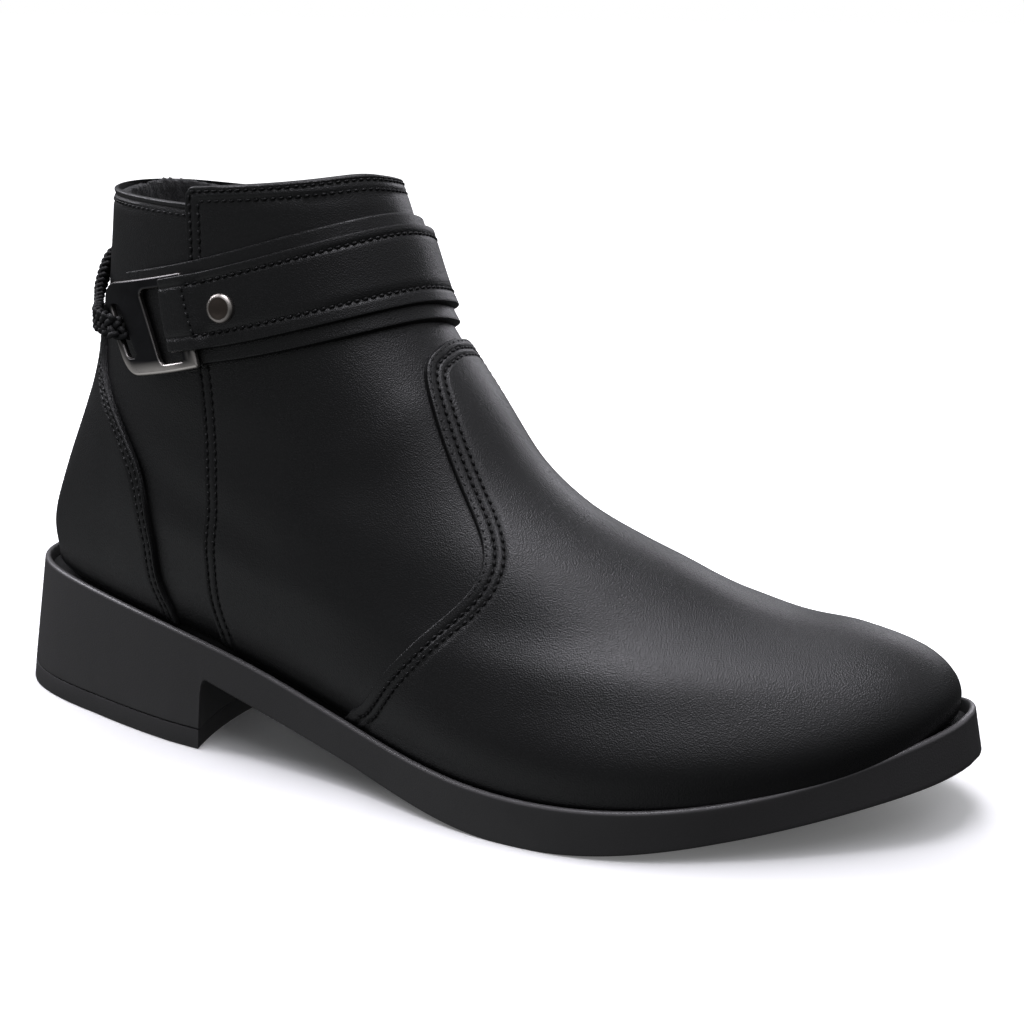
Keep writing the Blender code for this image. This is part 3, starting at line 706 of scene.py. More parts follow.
def new_material(name, colour, roughness, **sockets):
    """A material with its shader, and the Object coordinates that its patterns read."""
    material = bpy.data.materials.new(name)
    material.use_nodes = True
    tree = material.node_tree
    shader = tree.nodes["Principled BSDF"]
    feed(tree, shader, {"Base Color": (*colour, 1.0), "Roughness": roughness})
    feed(tree, shader, {socket.replace("_", " "): value for socket, value in sockets.items()})
    return material, tree, shader, add_node(tree, "TexCoord", "Object")


def dress(tree, shader, shade, normal, gloss=None):
    """Links the shader's colour, bump and gloss."""
    feed(tree, shader, {"Base Color": shade, "Normal": normal})
    if gloss is not None:
        feed(tree, shader, {"Roughness": gloss})


def attribute(tree, name):
    return add_node(tree, "Attribute", "Fac", attribute_name=name)


def vector_math(tree, operation, output, first, second=(0.0, 0.0, 0.0)):
    return add_node(tree, "VectorMath", output, {0: first, 1: second}, operation=operation)


def shaded(colour, times):
    return tuple(value * times for value in colour)


def noise(tree, place, scale, detail=3.0, roughness=0.5):
    inputs = {"Vector": place, "Scale": scale, "Detail": detail, "Roughness": roughness}
    return add_node(tree, "TexNoise", "Fac", inputs)


def pebbles(tree, place, scale):
    inputs = {"Vector": place, "Scale": scale, "Smoothness": 0.5}
    return add_node(tree, "TexVoronoi", "Distance", inputs, feature="SMOOTH_F1")


def between(tree, value, low, high, from_low=0.3, from_high=0.7):
    """The value moved from one range to another."""
    inputs = {"Value": value, "From Min": from_low, "From Max": from_high, "To Min": low, "To Max": high}
    return add_node(tree, "MapRange", "Result", inputs)


def added(tree, first, second, operation="ADD"):
    return add_node(tree, "Math", "Value", {0: first, 1: second}, operation=operation)


def tinted(tree, value, first, second):
    """A colour between two, by the value. The node's colour inputs are its numbers 6 and 7."""
    inputs = {0: value, 6: (*first, 1.0), 7: (*second, 1.0)}
    return add_node(tree, "Mix", 2, inputs, data_type="RGBA")


def painted_shade_and_highlight(tree, colour, share, painted_highlight=1.0):
    """The colour and the change of its roughness by the dark attribute: at 1 painted shade, a dull share
    of the colour, at 0 the colour itself, and at -1 a painted highlight, a lighter colour that is also
    glossier."""
    depth = attribute(tree, "dark")
    # Colour ramp: painted highlight at -1, the colour itself at 0, painted shade at 1
    ramp_node = tree.nodes.new("ShaderNodeValToRGB")
    stops = ramp_node.color_ramp.elements
    for place in (0.5, 0.6):
        stops.new(place)
    for stop, place, times in zip(stops, (0.0, 0.5, 0.6, 0.95), (painted_highlight, 1.0, 1.0, share)):
        stop.position = place
        stop.color = (*shaded(colour, times), 1.0)
    tree.links.new(between(tree, depth, 0.0, 1.0, -1.0, 1.0), ramp_node.inputs["Fac"])
    dull = between(tree, depth, 0.0, 0.3, 0.2, 1.0)
    return ramp_node.outputs["Color"], added(tree, dull, between(tree, depth, -0.16, 0.0, -1.0, 0.0))


def bumped(tree, height, deep, strength, before=None):
    inputs = {"Height": height, "Distance": deep, "Strength": strength}
    if before is not None:
        inputs["Normal"] = before
    return add_node(tree, "Bump", "Normal", inputs)


def leather(name, colour, grain):
    """Smooth black leather: wide mottling of the gloss, fine pebbled grain, and painted shade, darker
    and duller, along the stitch rows.
    """
    material, tree, shader, place = new_material(name, colour, 0.4, Specular_IOR_Level=0.5)
    # Painted shade along the stitch rows, a quarter of the colour
    shade, dull = painted_shade_and_highlight(tree, colour, 0.25)
    pebble = pebbles(tree, place, 1 / grain)
    gloss = added(tree, between(tree, noise(tree, place, 45.0, 2.0), 0.31, 0.38), dull)
    gloss = added(tree, gloss, between(tree, pebble, -0.06, 0.1, 0.2, 0.8))
    soft = bumped(tree, noise(tree, place, 60.0, 2.0), 0.0008, 0.12)
    grainy = bumped(tree, pebble, 0.00012, 0.7, soft)
    fine = bumped(tree, noise(tree, place, 1.3 / grain, 2.0), 0.00006, 0.5, grainy)
    dress(tree, shader, shade, fine, gloss)
    return material


def rubber(name, colour, roughness):
    """Moulded rubber: a fine even matt texture with a little cloudiness, with painted shade, darker and
    duller, in its groove, and a painted highlight, lighter and glossier, on the top of its lip.
    """
    material, tree, shader, place = new_material(name, colour, roughness, Specular_IOR_Level=0.5)
    # Painted shade in the groove at a twentieth of the colour, painted highlight on the lip at 2.4 times it
    shade, dull = painted_shade_and_highlight(tree, colour, 0.05, 2.4)
    gloss = between(tree, noise(tree, place, 90.0, 3.0), roughness - 0.05, roughness + 0.06)
    fine = bumped(tree, noise(tree, place, 2400.0, 2.0), 0.00014, 0.5)
    dress(tree, shader, shade, fine, added(tree, gloss, dull))
    return material


def gunmetal(name, colour, polished):
    """Dark plated metal with faint clouds in its gloss, lighter where its polish shows at the edges."""
    material, tree, shader, place = new_material(name, colour, 0.3, Metallic=1.0)
    shade = tinted(tree, attribute(tree, "worn"), colour, polished)
    gloss = between(tree, noise(tree, place, 260.0, 4.0), 0.26, 0.40)
    fine = bumped(tree, noise(tree, place, 1500.0, 2.0), 0.00005, 0.25)
    dress(tree, shader, shade, fine, gloss)
    return material


def fleece(name, colour):
    """Short matted pile: light and dark tufts over a soft sheen."""
    material, tree, shader, place = new_material(name, colour, 0.95, Sheen_Weight=0.25, Sheen_Roughness=0.6)
    tuft = noise(tree, place, 700.0, 5.0, 0.7)
    shade = tinted(tree, between(tree, tuft, 0.0, 1.0), shaded(colour, 0.45), shaded(colour, 2.2))
    dress(tree, shader, shade, bumped(tree, tuft, 0.0012, 0.9))
    return material


def threads(name, colour, roughness):
    """Waxed or braided thread: fine twisted fibres."""
    material, tree, shader, place = new_material(name, colour, roughness, Specular_IOR_Level=0.25)
    fibre = noise(tree, place, 3000.0, 3.0, 0.6)
    shade = tinted(tree, between(tree, fibre, 0.0, 1.0), colour, shaded(colour, 2.0))
    dress(tree, shader, shade, bumped(tree, fibre, 0.0002, 0.6))
    return material


def pale_floor(name, colour):
    """A plain white studio floor that takes the lamps' soft shadow near the boot and glows white further
    off. The glow is painted light: it grows with the distance in an oval as long as the boot, so that
    the floor near the boot, where it hardly glows, is darker as a painted shadow."""
    material, tree, shader, place = new_material(name, colour, 0.9, Specular_IOR_Level=0.0)
    oval = vector_math(tree, "MULTIPLY", "Vector", place, (7.0, 16.0, 0.0))
    away = vector_math(tree, "LENGTH", "Value", oval)
    # Painted glow, faint near the boot as a painted shadow and full white far off
    glow = between(tree, away, 0.02, 1.0, 0.5, 3.5)
    feed(tree, shader, {"Emission Color": (1.0, 1.0, 1.0, 1.0), "Emission Strength": glow})
    return material


def metres(name, description, default, low, high):
    """A length in metres that a user may change."""
    return FloatProperty(name=name, description=description, default=default, min=low, max=high,
                         unit="LENGTH")


def tint(name, description, *default):
    """A colour that a user may change."""
    return FloatVectorProperty(name=name, description=description, default=default, min=0.0, max=1.0,
                               subtype="COLOR")


class BootSizes(PropertyGroup):
    """Sizes of the boot's finish that a user may change."""

    stitch_pitch: metres("Stitch pitch", "Distance from one stitch to the next", 0.0021, 0.001, 0.006)
    thread_wide: metres("Thread width", "Thickness of the sewing thread", 0.0007, 0.0002, 0.0015)
    trough_deep: metres("Stitch trough", "How deep the thread pulls the leather down", 0.00045, 0.0, 0.001)
    edge_round: metres("Cut edge", "Width of the rounding at the leather's cut edges", 0.0005, 0.0001, 0.002)
    grain: metres("Leather grain", "Size of one pebble of the leather's grain", 0.00034, 0.0002, 0.003)
    pile: metres("Lining pile", "How far the tufts of the lining stand out", 0.0006, 0.0, 0.003)
    plate_bevel: metres("Plate bevel", "Radius of the buckle plate's rounded edges", 0.0007, 0.0001, 0.0008)
    lens: FloatProperty(name="Lens", description="Focal length of the camera in millimetres", default=69.5)


class BootColours(PropertyGroup):
    """Colours of the boot and its stage."""

    leather: tint("Leather", "Smooth leather of the panels", 0.004, 0.004, 0.0044)
    strap: tint("Strap", "Leather of the strap", 0.0038, 0.0038, 0.0042)
    rubber: tint("Sole", "Moulded rubber of the sole", 0.04, 0.0386, 0.0396)
    plate: tint("Plate", "Black plating of the buckle plate", 0.035, 0.035, 0.038)
    metal: tint("Metal", "Polished edges of the rivet and the plate", 0.88, 0.83, 0.78)
    rivet: tint("Rivet", "Face of the rivet", 0.11, 0.09, 0.078)
    cord: tint("Cord", "Braided cord", 0.006, 0.006, 0.0064)
    thread: tint("Thread", "Sewing thread", 0.003, 0.003, 0.0033)
    pile: tint("Lining", "Fleece lining and footbed", 0.009, 0.009, 0.0096)
    floor: tint("Floor", "Studio floor", 0.97, 0.97, 0.97)


def across_sole(left, right, count):
    """A grid from one side of the sole to the other, a row at each station."""
    share = np.linspace(0, 1, count)[None, :, None]
    return left[:, None] + (right - left)[:, None] * share


def split_loop(ring):
    """The outer and the inner side of a loop round the sole, both from the heel point to the toe point."""
    half = len(ring) // 2
    return ring[: half + 1], np.concatenate([ring[:1], ring[: half - 1 : -1]])


def bowed(grid):
    """Moves the heel's front back in its middle, fading to both sides of it along the sole."""
    share = np.linspace(-1, 1, grid.shape[1])[None, :]
    ahead = grid[..., 0] - BREAST_X
    near = ramp(ahead, -25, 0) * ramp(ahead, BREAST_RAKE + 22, BREAST_RAKE)
    moved = grid.copy()
    moved[..., 0] -= BREAST_HOLLOW * near * (1 - share**2)
    return moved


def tread_relief(grid, deep):
    """Shallow wavy grooves across the underside, clear of its border and of the shank under the arch."""
    x, y = grid[..., 0], grid[..., 1]
    share = np.linspace(-1, 1, grid.shape[1])[None, :]
    wave = np.sin(2 * np.pi * (x + TREAD_SWAY * np.sin(y / TREAD_SWAY_LONG)) / TREAD_PITCH)
    clear = ramp(np.abs(share), 0.82, 0.76)
    parts = [ramp(x, start, start + 3) * ramp(x, end, end - 3) for start, end in TREAD_PARTS]
    moved = grid.copy()
    moved[..., 2] += deep * ramp(wave, 0.25, 0.6) * clear * np.maximum(*parts)
    return moved


class BOOT_OT_sole(Operator):
    """Moulded sole with its rim, ledge, arch and block heel, and the heel's wearing layer"""

    bl_idname = "boot.sole"
    bl_label = "Sole"

    def execute(self, context):
        colours = context.scene.boot_colours
        places = stations(*SOLE_ENDS, 250)
        fixed = np.concatenate([BREAST_X + BREAST_RAKE * np.linspace(0, 1, 9), [FLAT_FROM, FLAT_TO]])
        clear = np.abs(places[:, None] - fixed).min(1) > STATION_GAP
        degrees = sole_loop(np.sort(np.concatenate([places[clear], fixed])))
        rim = rim_ring(degrees)
        rim[:, 2] += FAR_TOE_RISE * bell(degrees - FAR_TOE, FAR_TOE_WIDE)
        out = np.pad(plan_outward(degrees), ((0, 0), (0, 1)))
        ground = flared(degrees)
        black = rubber("sole_rubber", colours.rubber, 0.5)
        self.body(degrees, self.tread_edge(ground, rim), rim, out, black)
        wearing = rubber("lift_rubber", shaded(colours.rubber, 0.85), 0.55)
        self.lift(ground, rim, out, wearing)
        return {"FINISHED"}

    def tread_edge(self, ground, rim):
        """The lower edge of the sole's side: over the wearing layer, up the breast on a cubic superellipse,
        and along the tread, drawn in towards the rim by the share of the height that it has climbed."""
        x = ground[:, 0]
        breast_end = BREAST_X + BREAST_RAKE
        climb = (1 - (1 - ramp(x, BREAST_X, breast_end)) ** 3) ** (1 / 3)
        seat_z = LIFT + LIFT_GAP
        under = np.where(climb < 1, seat_z + (tread_z(breast_end) - seat_z) * climb, tread_z(x))
        pull = under / np.maximum(rim[:, 2], 1) * np.where(climb < 1, 1.0, ramp(x, SHANK_TO, breast_end))
        return np.concatenate([ground + (rim[:, :2] - ground) * pull[:, None], under[:, None]], 1)

    def body(self, degrees, low, rim, out, material):
        """Rings from the tread edge up the side, round the rim's lip, down into the groove and up to the
        seat."""
        up = np.array([0.0, 0.0, 1.0])
        rings = []
        for angle in np.radians([0, 30, 60, 90]):
            rings.append(low - out * TREAD_EDGE * (1 - np.sin(angle)) + up * TREAD_EDGE * (1 - np.cos(angle)))
        foot = rings[-1]
        lip_in, lip_down = LIP_ROUND
        shoulder = rim - up * lip_down
        rings += [foot + (shoulder - foot) * share for share in np.linspace(0, 1, 12)[1:]]
        for angle in np.radians([15, 35, 55, 75, 90]):
            rings.append(rim - out * lip_in * (1 - np.cos(angle)) - up * lip_down * (1 - np.sin(angle)))
        rings += [rim - out * inward - up * down for inward, down in LIP_RINGS]
        lip = len(rings) - 3
        seat = feather_ring(degrees, SEAT_INSET)
        floor = np.concatenate([seat[:, :2], rings[-1][:, 2:]], 1)
        slot = feather_ring(degrees, SLOT_INSET)
        rings += [floor, seat, slot]
        bottom = tread_relief(bowed(across_sole(*split_loop(rings[0]), 61)), TREAD_DEEP)
        top = across_sole(*split_loop(slot), 9)
        wall = np.stack(rings)
        wall[0] = self.edge_of(bottom, rings[0])
        wall[1:4] += (wall[0] - rings[0])[None] * np.array([0.7, 0.3, 0.0])[:, None, None]
        deep = np.zeros(wall.shape[:2])
        # Painted shade from the lip's inner side down into the groove and over the seat
        deep[lip:] = 1.0
        # Painted highlight over the rounded top of the lip
        deep[lip - 5 : lip - 1] = -1.0
        # The tread is left plain, and the top, under the footbed, is in painted shade
        dark = np.concatenate([deep.ravel(), np.zeros(bottom.size // 3), np.ones(top.size // 3)])
        add_piece("sole_moulding", [(wall, True), (bottom,), (top,)], material,
                  ("sole_unit",), 32.0, dark)

    def edge_of(self, grid, ring):
        """The border of a strip grid, in the order of the loop that it fills."""
        return np.concatenate([grid[:, 0], grid[-2:0:-1, -1]]).reshape(ring.shape)

    def lift(self, ground, rim, out, material):
        """The wearing layer: the heel's outline at the floor and a little above it, front bowed back."""
        x = ground[:, 0]
        flat = np.pad(ground, ((0, 0), (0, 1)))
        top = flat + (rim - flat) * (LIFT / np.maximum(rim[:, 2], 1))[:, None]
        top[:, 2] = LIFT
        count = int((x[: len(x) // 2 + 1] <= BREAST_X + 1e-6).sum())
        rows = []
        for inset, height in LIFT_RINGS:
            left, right = split_loop(flat + (top - flat) * (height / LIFT) - out * inset)
            grid = bowed(across_sole(left[:count], right[:count], 41))
            if height < LIFT:
                grid[..., 0] -= inset * ramp(grid[..., 0], BREAST_X - 20, BREAST_X)
            rows.append(grid)
        stack = np.stack(rows)
        patches = (tread_relief(rows[0], LIFT_TREAD), rows[-1], stack[:, :, 0], stack[:, :, -1], stack[:, -1])
        add_piece("heel_top_piece", [(patch,) for patch in patches], material,
                  ("heel_lift",), 32.0)


class BOOT_OT_inside(Operator):
    """Fleece lining and footbed"""

    bl_idname = "boot.inside"
    bl_label = "Lining and footbed"

    def execute(self, context):
        sizes = context.scene.boot_sizes
        pile = fleece("dark_fleece", context.scene.boot_colours.pile)
        self.lining(sizes, pile)
        self.footbed(sizes, pile)
        return {"FINISHED"}

    def tufts(self, shape, high, seed):
        """Even random heights, softened by their neighbours, so that the pile lies in small clumps."""
        heights = np.random.default_rng(seed).random(shape)
        for axis in (0, 1):
            heights = (np.roll(heights, 1, axis) + 2 * heights + np.roll(heights, -1, axis)) / 4
        return (heights - 0.5) * 2 * high

    def lining(self, sizes, material):
        """A closed sleeve: up the back face, over a round top edge and down the pile face. Its pile stands
        up over the collar at the inner side of the heel."""
        inner, outer = LINING
        middle, radius = (inner + outer) / 2, (outer - inner) / 2
        back, over, face = LINING_ROWS
        low, high = LINING_LEVELS
        turn = np.linspace(0, np.pi, over + 2)[1:-1]
        climb, fall = np.linspace(low, high, back), np.linspace(high, low, face)
        level = np.concatenate([climb, np.full(over, high), fall])
        arch = middle + radius * np.cos(turn)
        distance = np.concatenate([np.full(back, outer), arch, np.full(face, inner)])
        degrees = np.arange(360.0)
        front = ramp(half_turn(degrees), 88, 92)
        rise = rear_rise(degrees) + (front_rise(degrees) - rear_rise(degrees)) * front
        fuzz = self.tufts((len(level), len(degrees)), sizes.pile * MM, 11)
        fuzz[:back] = 0.0
        grid = shell(degrees, level[:, None], distance[:, None] + fuzz, rise)
        crown = slice(back, back + over)
        tufts = (TUFT_RISE + TUFT_SPREAD * fuzz[crown]) * bell(from_heel(degrees) - TUFT_AT, TUFT_WIDE)
        grid[crown, :, 2] += radius * 1.4 * np.sin(turn)[:, None] + tufts
        add_piece("lining", [(grid, True, True)], material, ("upper",), 80.0)

    def footbed(self, sizes, material):
        """Rings up the edge, then a pile face across it and a plain one underneath."""
        degrees = sole_loop(stations(4, 264, 170))
        rings = [feather_ring(degrees, inset, lift) for inset, lift in FOOTBED_RINGS]
        top = across_sole(*split_loop(rings[-1]), 64)
        fuzz = self.tufts(top.shape[:2], sizes.pile * MM, 12)
        fuzz[:, [0, -1]] = 0.0
        fuzz[[0, -1]] = 0.0
        top[..., 2] += fuzz
        under = across_sole(*split_loop(rings[0]), 9)
        add_piece("footbed", [(np.stack(rings), True), (top,), (under,)], material,
                  ("insole",), 80.0)


class BOOT_OT_panels(Operator):
    """Rear panel, front quarter, vamp and heel counter"""

    bl_idname = "boot.panels"
    bl_label = "Leather panels"

    def execute(self, context):
        sizes = context.scene.boot_sizes
        finish = sizes, leather("black_leather", context.scene.boot_colours.leather, sizes.grain)
        self.rear_panel(finish)
        self.front_quarter(finish)
        self.vamp(finish)
        self.counter(finish)
        return {"FINISHED"}

    def sheet(self, name, node, edges, levels, middle, layer, finish, seam, rows, rise=np.zeros_like):
        """One panel between its two edges. A layer may be a function of the degrees."""
        sizes, material = finish
        degrees = columns_across(*edges, levels, middle)
        grid = np.broadcast_to(levels[:, None], degrees.shape)
        layer = layer(degrees) if callable(layer) else layer
        faces, sewn = leather_sheet(degrees, grid, layer, sizes, seam, rows, rise(degrees))
        add_piece(name, faces, material, (node,), dark=sewn)

    def rear_panel(self, finish):
        """The lowest layer: round the heel and a little way under the front quarter on both sides."""
        levels = level_rows(1.0, 110)
        reach = seam_at(levels) + REAR_LAP
        self.sheet("rear_panel", "upper", (-reach, reach), levels, 120, REAR, finish, ("top",),
                   (REAR_FOLD, *REAR_ROWS), rear_rise)

    def front_quarter(self, finish):
        """Laid over the rear panel at its two edges, and full against the lining between them."""
        levels = level_rows(1.0, 110)
        edge = seam_at(levels) + CORNER_DEGREES * (1 - np.sqrt(1 - ramp(levels, CORNER_FROM, 1) ** 2))
        over, past = QUARTER_INSIDE

        def layer(degrees):
            gone = np.minimum(degrees - edge[:, None], 360 - edge[:, None] - degrees)
            return over + (past - over) * ramp(gone, *QUARTER_LAP), QUARTER

        self.sheet("front_quarter", "upper", (edge, 360 - edge), levels, 230, layer, finish,
                   ("left", "top", "right"), SEAM_ROWS, front_rise)

    def vamp(self, finish):
        """Over the quarter, from the toe to a rounded top on the instep."""
        edge, levels = vamp_outline(230)
        self.sheet("vamp_leather", "vamp", (edge, vamp_inner(levels)), levels, 150, VAMP, finish,
                   ("left", "right"), VAMP_ROWS[1:])

    def counter(self, finish):
        """Over the rear panel, round the heel."""
        levels = level_rows(COUNTER_TOP, 90)
        edge = counter_at(levels)
        self.sheet("counter_leather", "counter", (-edge, edge), levels, 90, COUNTER, finish,
                   ("left", "top", "right"), COUNTER_ROWS)


def over_strap_run():
    """Along the over-strap: degrees and distance of its outer face, then of its inner face, from the
    inner side of the shaft to the fold round the plate's end bar and back behind it."""
    degrees = np.linspace(OVER_ENDS[1], OVER_ENDS[0], 210)
    climb = ramp(degrees, FOLD_AT + 6, FOLD_AT)
    climb = climb**2 * (3 - 2 * climb)
    outer = OVER[1] + (FOLD[1] - OVER[1]) * climb
    inner = OVER[0] + (FOLD[0] - OVER[0]) * climb
    turn = np.radians(np.linspace(0, 165, 15)[1:])
    centre = 4.6
    fold_outer = np.stack([OVER_ENDS[0] - 2.0 * np.sin(turn), centre + (FOLD[1] - centre) * np.cos(turn)])
    fold_inner = np.stack([OVER_ENDS[0] - 0.7 * np.sin(turn), centre + (FOLD[0] - centre) * np.cos(turn)])
    run = np.stack([degrees, outer, degrees, inner])
    return np.concatenate([run, np.concatenate([fold_outer, fold_inner])], 1)


class BOOT_OT_straps(Operator):
    """Wide under-strap and the narrower strap on it that folds round the plate's end bar"""

    bl_idname = "boot.straps"
    bl_label = "Straps"

    def execute(self, context):
        sizes = context.scene.boot_sizes
        hide = leather("strap_leather", context.scene.boot_colours.strap, sizes.grain)
        degrees = np.linspace(UNDER_ENDS[1], UNDER_ENDS[0], 240)
        inner = UNDER[0] - UNDER_SETTLE * ramp(degrees, *SETTLE_DEGREES)
        run = np.stack([degrees, np.full(240, UNDER[1]), degrees, inner])
        self.band("under_strap_leather", run, UNDER_HALF, hide, (), "under_strap", sizes, UNDER_SLANT)
        self.band("over_strap_leather", over_strap_run(), OVER_HALF, hide, STRAP_ROWS, "over_strap", sizes)
        return {"FINISHED"}

    def band(self, name, run, half, material, rows, node, sizes, slant=0.0):
        """A sheet along the strap: each face is the strap's middle line at its own degrees and distance,
        spread across by level. It rounds at its two edges and at its ends. A slant moves the last end on
        towards the heel at the strap's top."""
        scale = millimetres_per_level(np.array(120.0))
        wide = half * scale
        share = np.concatenate([NEAR[:13] / wide - 1, np.linspace(-0.36, 0.36, 9), 1 - NEAR[12::-1] / wide])
        faces = []
        for degrees, distance in (run[:2], run[2:]):
            lean = slant * (share[:, None] + 1) / 2 * np.linspace(0, 1, run.shape[1]) ** 6
            around = np.broadcast_to(degrees, (len(share), run.shape[1])) - lean
            level = strap_middle(around) + share[:, None] * half
            faces.append((around, level, np.broadcast_to(distance, around.shape)))
        outer, inner = (shell(*face) for face in faces)
        edge = (1 - np.abs(share)) * wide
        along = lengths(outer[len(share) // 2])
        gap = np.minimum(edge[:, None], np.minimum(along, along[-1] - along)[None])
        lift = rounded(gap / (sizes.edge_round * MM))
        sewn = np.zeros_like(gap)
        for row, place in zip(rows, ((1 - share) * wide, (1 + share) * wide)):
            sewn += bell(place - row, TROUGH_WIDE)[:, None] * (gap > 0.3)
        lift = lift - sewn * sizes.trough_deep * MM * 0.6
        outer = inner + (outer - inner) * lift[..., None]
        # sewn goes on the outer face as the painted shade of the stitch rows
        sewn = np.stack([sewn, np.zeros_like(sewn)])
        add_piece(name, [(outer,), (inner,)], material, (node,), dark=sewn)


def plate_point(across, up, distance):
    """A point of the buckle plate from its shares along and up, on a layer of the shaft."""
    left = PLATE_LEFT[1] + (PLATE_LEFT[0] - PLATE_LEFT[1]) * np.minimum(up * 1.25, 1.0)
    degrees = left + (PLATE_RIGHT - left) * across
    low = PLATE_LOW[0] + (PLATE_LOW[1] - PLATE_LOW[0]) * across
    return shell(degrees, strap_middle(degrees) - low + (PLATE_HIGH + low) * up, distance)


def round_corners(corners):
    """A closed outline through corners given as x, y and radius, each rounded by a quadratic curve."""
    points = np.array([corner[:2] for corner in corners], float)
    radius = np.array([corner[2] for corner in corners], float)[:, None, None]
    before = unit(np.roll(points, 1, 0) - points)[:, None]
    after = unit(np.roll(points, -1, 0) - points)[:, None]
    t = np.linspace(0, 1, 9)[None, :, None]
    curve = points[:, None] + before * radius * (1 - t) ** 2 + after * radius * t**2
    return curve.reshape(-1, 2)


class BOOT_OT_metal(Operator):
    """Buckle plate with its two slots, and the dome rivet"""

    bl_idname = "boot.metal"
    bl_label = "Plate and rivet"

    def execute(self, context):
        sizes = context.scene.boot_sizes
        colours = context.scene.boot_colours
        self.plate(sizes, gunmetal("black_plating", colours.plate, colours.metal))
        self.rivet(gunmetal("gunmetal", colours.rivet, colours.metal))
        return {"FINISHED"}

    def plate(self, sizes, material):
        """A filled outline with two slots and rounded edges, laid flat, cut into strips and bent on to
        the shaft. Its polish shows along the lower and left border and on the roundings."""
        long, high = PLATE_SIZE
        half = (PLATE[1] - PLATE[0]) / 2
        mesh = self.flat_plate(long, high, half, sizes.plate_bevel * MM)
        x, y, z = coordinates(mesh).T
        bent = plate_point(x / long, y / high, (PLATE[0] + PLATE[1]) / 2 + z)
        mesh.vertices.foreach_set("co", ((bent - MIDDLE) / MM).ravel())
        corner = np.hypot(np.maximum(PLATE_CORNER - x, 0), np.maximum(PLATE_CORNER - y, 0))
        margin = PLATE_CORNER - corner
        reach = PLATE_POLISH - ramp(x, 22, 28)
        bar = ramp(margin, reach, reach - 2.2) * ramp(y, 9, 3)
        rounding = 0.2 * ramp(z, half - 0.04, half - 0.29)
        paint(mesh, "worn", np.maximum(bar, rounding))
        mesh.update()
        finish_piece("buckle_plate", mesh, material, ("buckle",), 30.0)

    def flat_plate(self, long, high, half, bevel):
        """The plate before it is bent, as triangles in strips."""
        curve = bpy.data.curves.new("plate_outline", "CURVE")
        curve.dimensions = "2D"
        curve.fill_mode = "BOTH"
        curve.bevel_depth = bevel
        curve.bevel_resolution = 4
        curve.extrude = half - bevel
        curve.offset = -bevel
        for corners in PLATE_OUTLINES:
            points = round_corners([(x * long, y * high, radius) for x, y, radius in corners])
            run = curve.splines.new("POLY")
            run.points.add(len(points) - 1)
            run.points.foreach_set("co", np.pad(points, ((0, 0), (0, 2))).ravel())
            run.use_cyclic_u = True
        flat = bpy.data.objects.new("plate_outline", curve)
        bpy.context.scene.collection.objects.link(flat)
        bpy.context.view_layer.update()
        mesh = bpy.data.meshes.new_from_object(flat.evaluated_get(bpy.context.evaluated_depsgraph_get()))
        bpy.data.objects.remove(flat)
        work = bmesh.new()
        work.from_mesh(mesh)
        bmesh.ops.remove_doubles(work, verts=work.verts[:], dist=1e-4)
        for x in np.linspace(0, long, 25)[1:-1]:
            bmesh.ops.bisect_plane(work, geom=work.verts[:] + work.edges[:] + work.faces[:],
                                   plane_co=(x, 0, 0), plane_no=(1, 0, 0))
        bmesh.ops.triangulate(work, faces=work.faces[:])
        bmesh.ops.recalc_face_normals(work, faces=work.faces[:])
        work.to_mesh(mesh)
        work.free()
        return mesh

    def rivet(self, material):
        """A profile of radius and height turned round the strap's own normal, polished at its rim."""
        foot = shell(RIVET_DEGREES, RIVET_LEVEL, np.array(OVER[1] + 0.1))
        out = normal(RIVET_DEGREES, RIVET_LEVEL)
        side = unit(np.cross([0.0, 0.0, 1.0], out))
        turn = np.radians(np.arange(0, 360, 7.5))[:, None]
        circle = np.cos(turn) * side + np.sin(turn) * np.cross(out, side)
        grid = foot + RIVET_PROFILE[:, :1, None] * circle[None] + RIVET_PROFILE[:, 1:, None] * out
        made = add_piece("rivet_dome", [(grid, True)], material, ("rivet",), 50.0)
        away = np.linalg.norm(np.cross(coordinates(made.data) * MM + MIDDLE - foot, out), axis=1)
        paint(made.data, "worn", np.minimum(ramp(away, 2.6, 3.0), 0.55))


class BOOT_OT_cord(Operator):
    """Flat braided cord from the inner strap end round the heel into the plate's slot"""

    bl_idname = "boot.cord"
    bl_label = "Cord"

    def execute(self, context):
        material = threads("braid", context.scene.boot_colours.cord, 0.55)
        knots = np.arange(len(CORD_PATH), dtype=float)
        fine = spline(knots, CORD_PATH, np.linspace(0, knots[-1], 900))
        length = lengths(shell(*fine.T[:3]))
        even = np.linspace(0, length[-1], 560)
        degrees, level, distance, lean = read_at(even, length, fine).T
        centre = shell(degrees, level, distance)
        ahead = unit(np.gradient(centre, axis=0))
        up = base(degrees - lean, level + 0.02) - base(degrees + lean, level - 0.02)
        up = unit(up - ahead * (up * ahead).sum(1, keepdims=True))
        out = np.cross(ahead, up)
        strands = [self.strand(centre, up, out, even, k / STRANDS) for k in range(STRANDS)]
        add_piece("cord_braid", [(np.stack(strands), True)], material, ("cord",), 80.0)
        return {"FINISHED"}

    def strand(self, centre, up, out, even, phase):
        """One strand of the braid: it swings across the band as a sine, and passes over and under the
        other four at four times that rate. Its ends close to a point."""
        turn = 2 * np.pi * (even / BRAID_REPEAT + phase)[:, None]
        path = centre + up * BRAID_SWING * np.sin(turn) + out * BRAID_OVER * np.sin(4 * turn)
        ahead = unit(np.gradient(path, axis=0))
        side = unit(np.cross(out, ahead))
        lift = np.cross(ahead, side)
        ring = np.radians(np.arange(0, 360, 45))[None, :, None]
        thick = np.ones((len(even), 1, 1))
        thick[[0, -1]] = 0.0
        wide, high = STRAND_HALF
        oval = np.cos(ring) * side[:, None] * wide + np.sin(ring) * lift[:, None] * high
        return path[:, None] + oval * thick


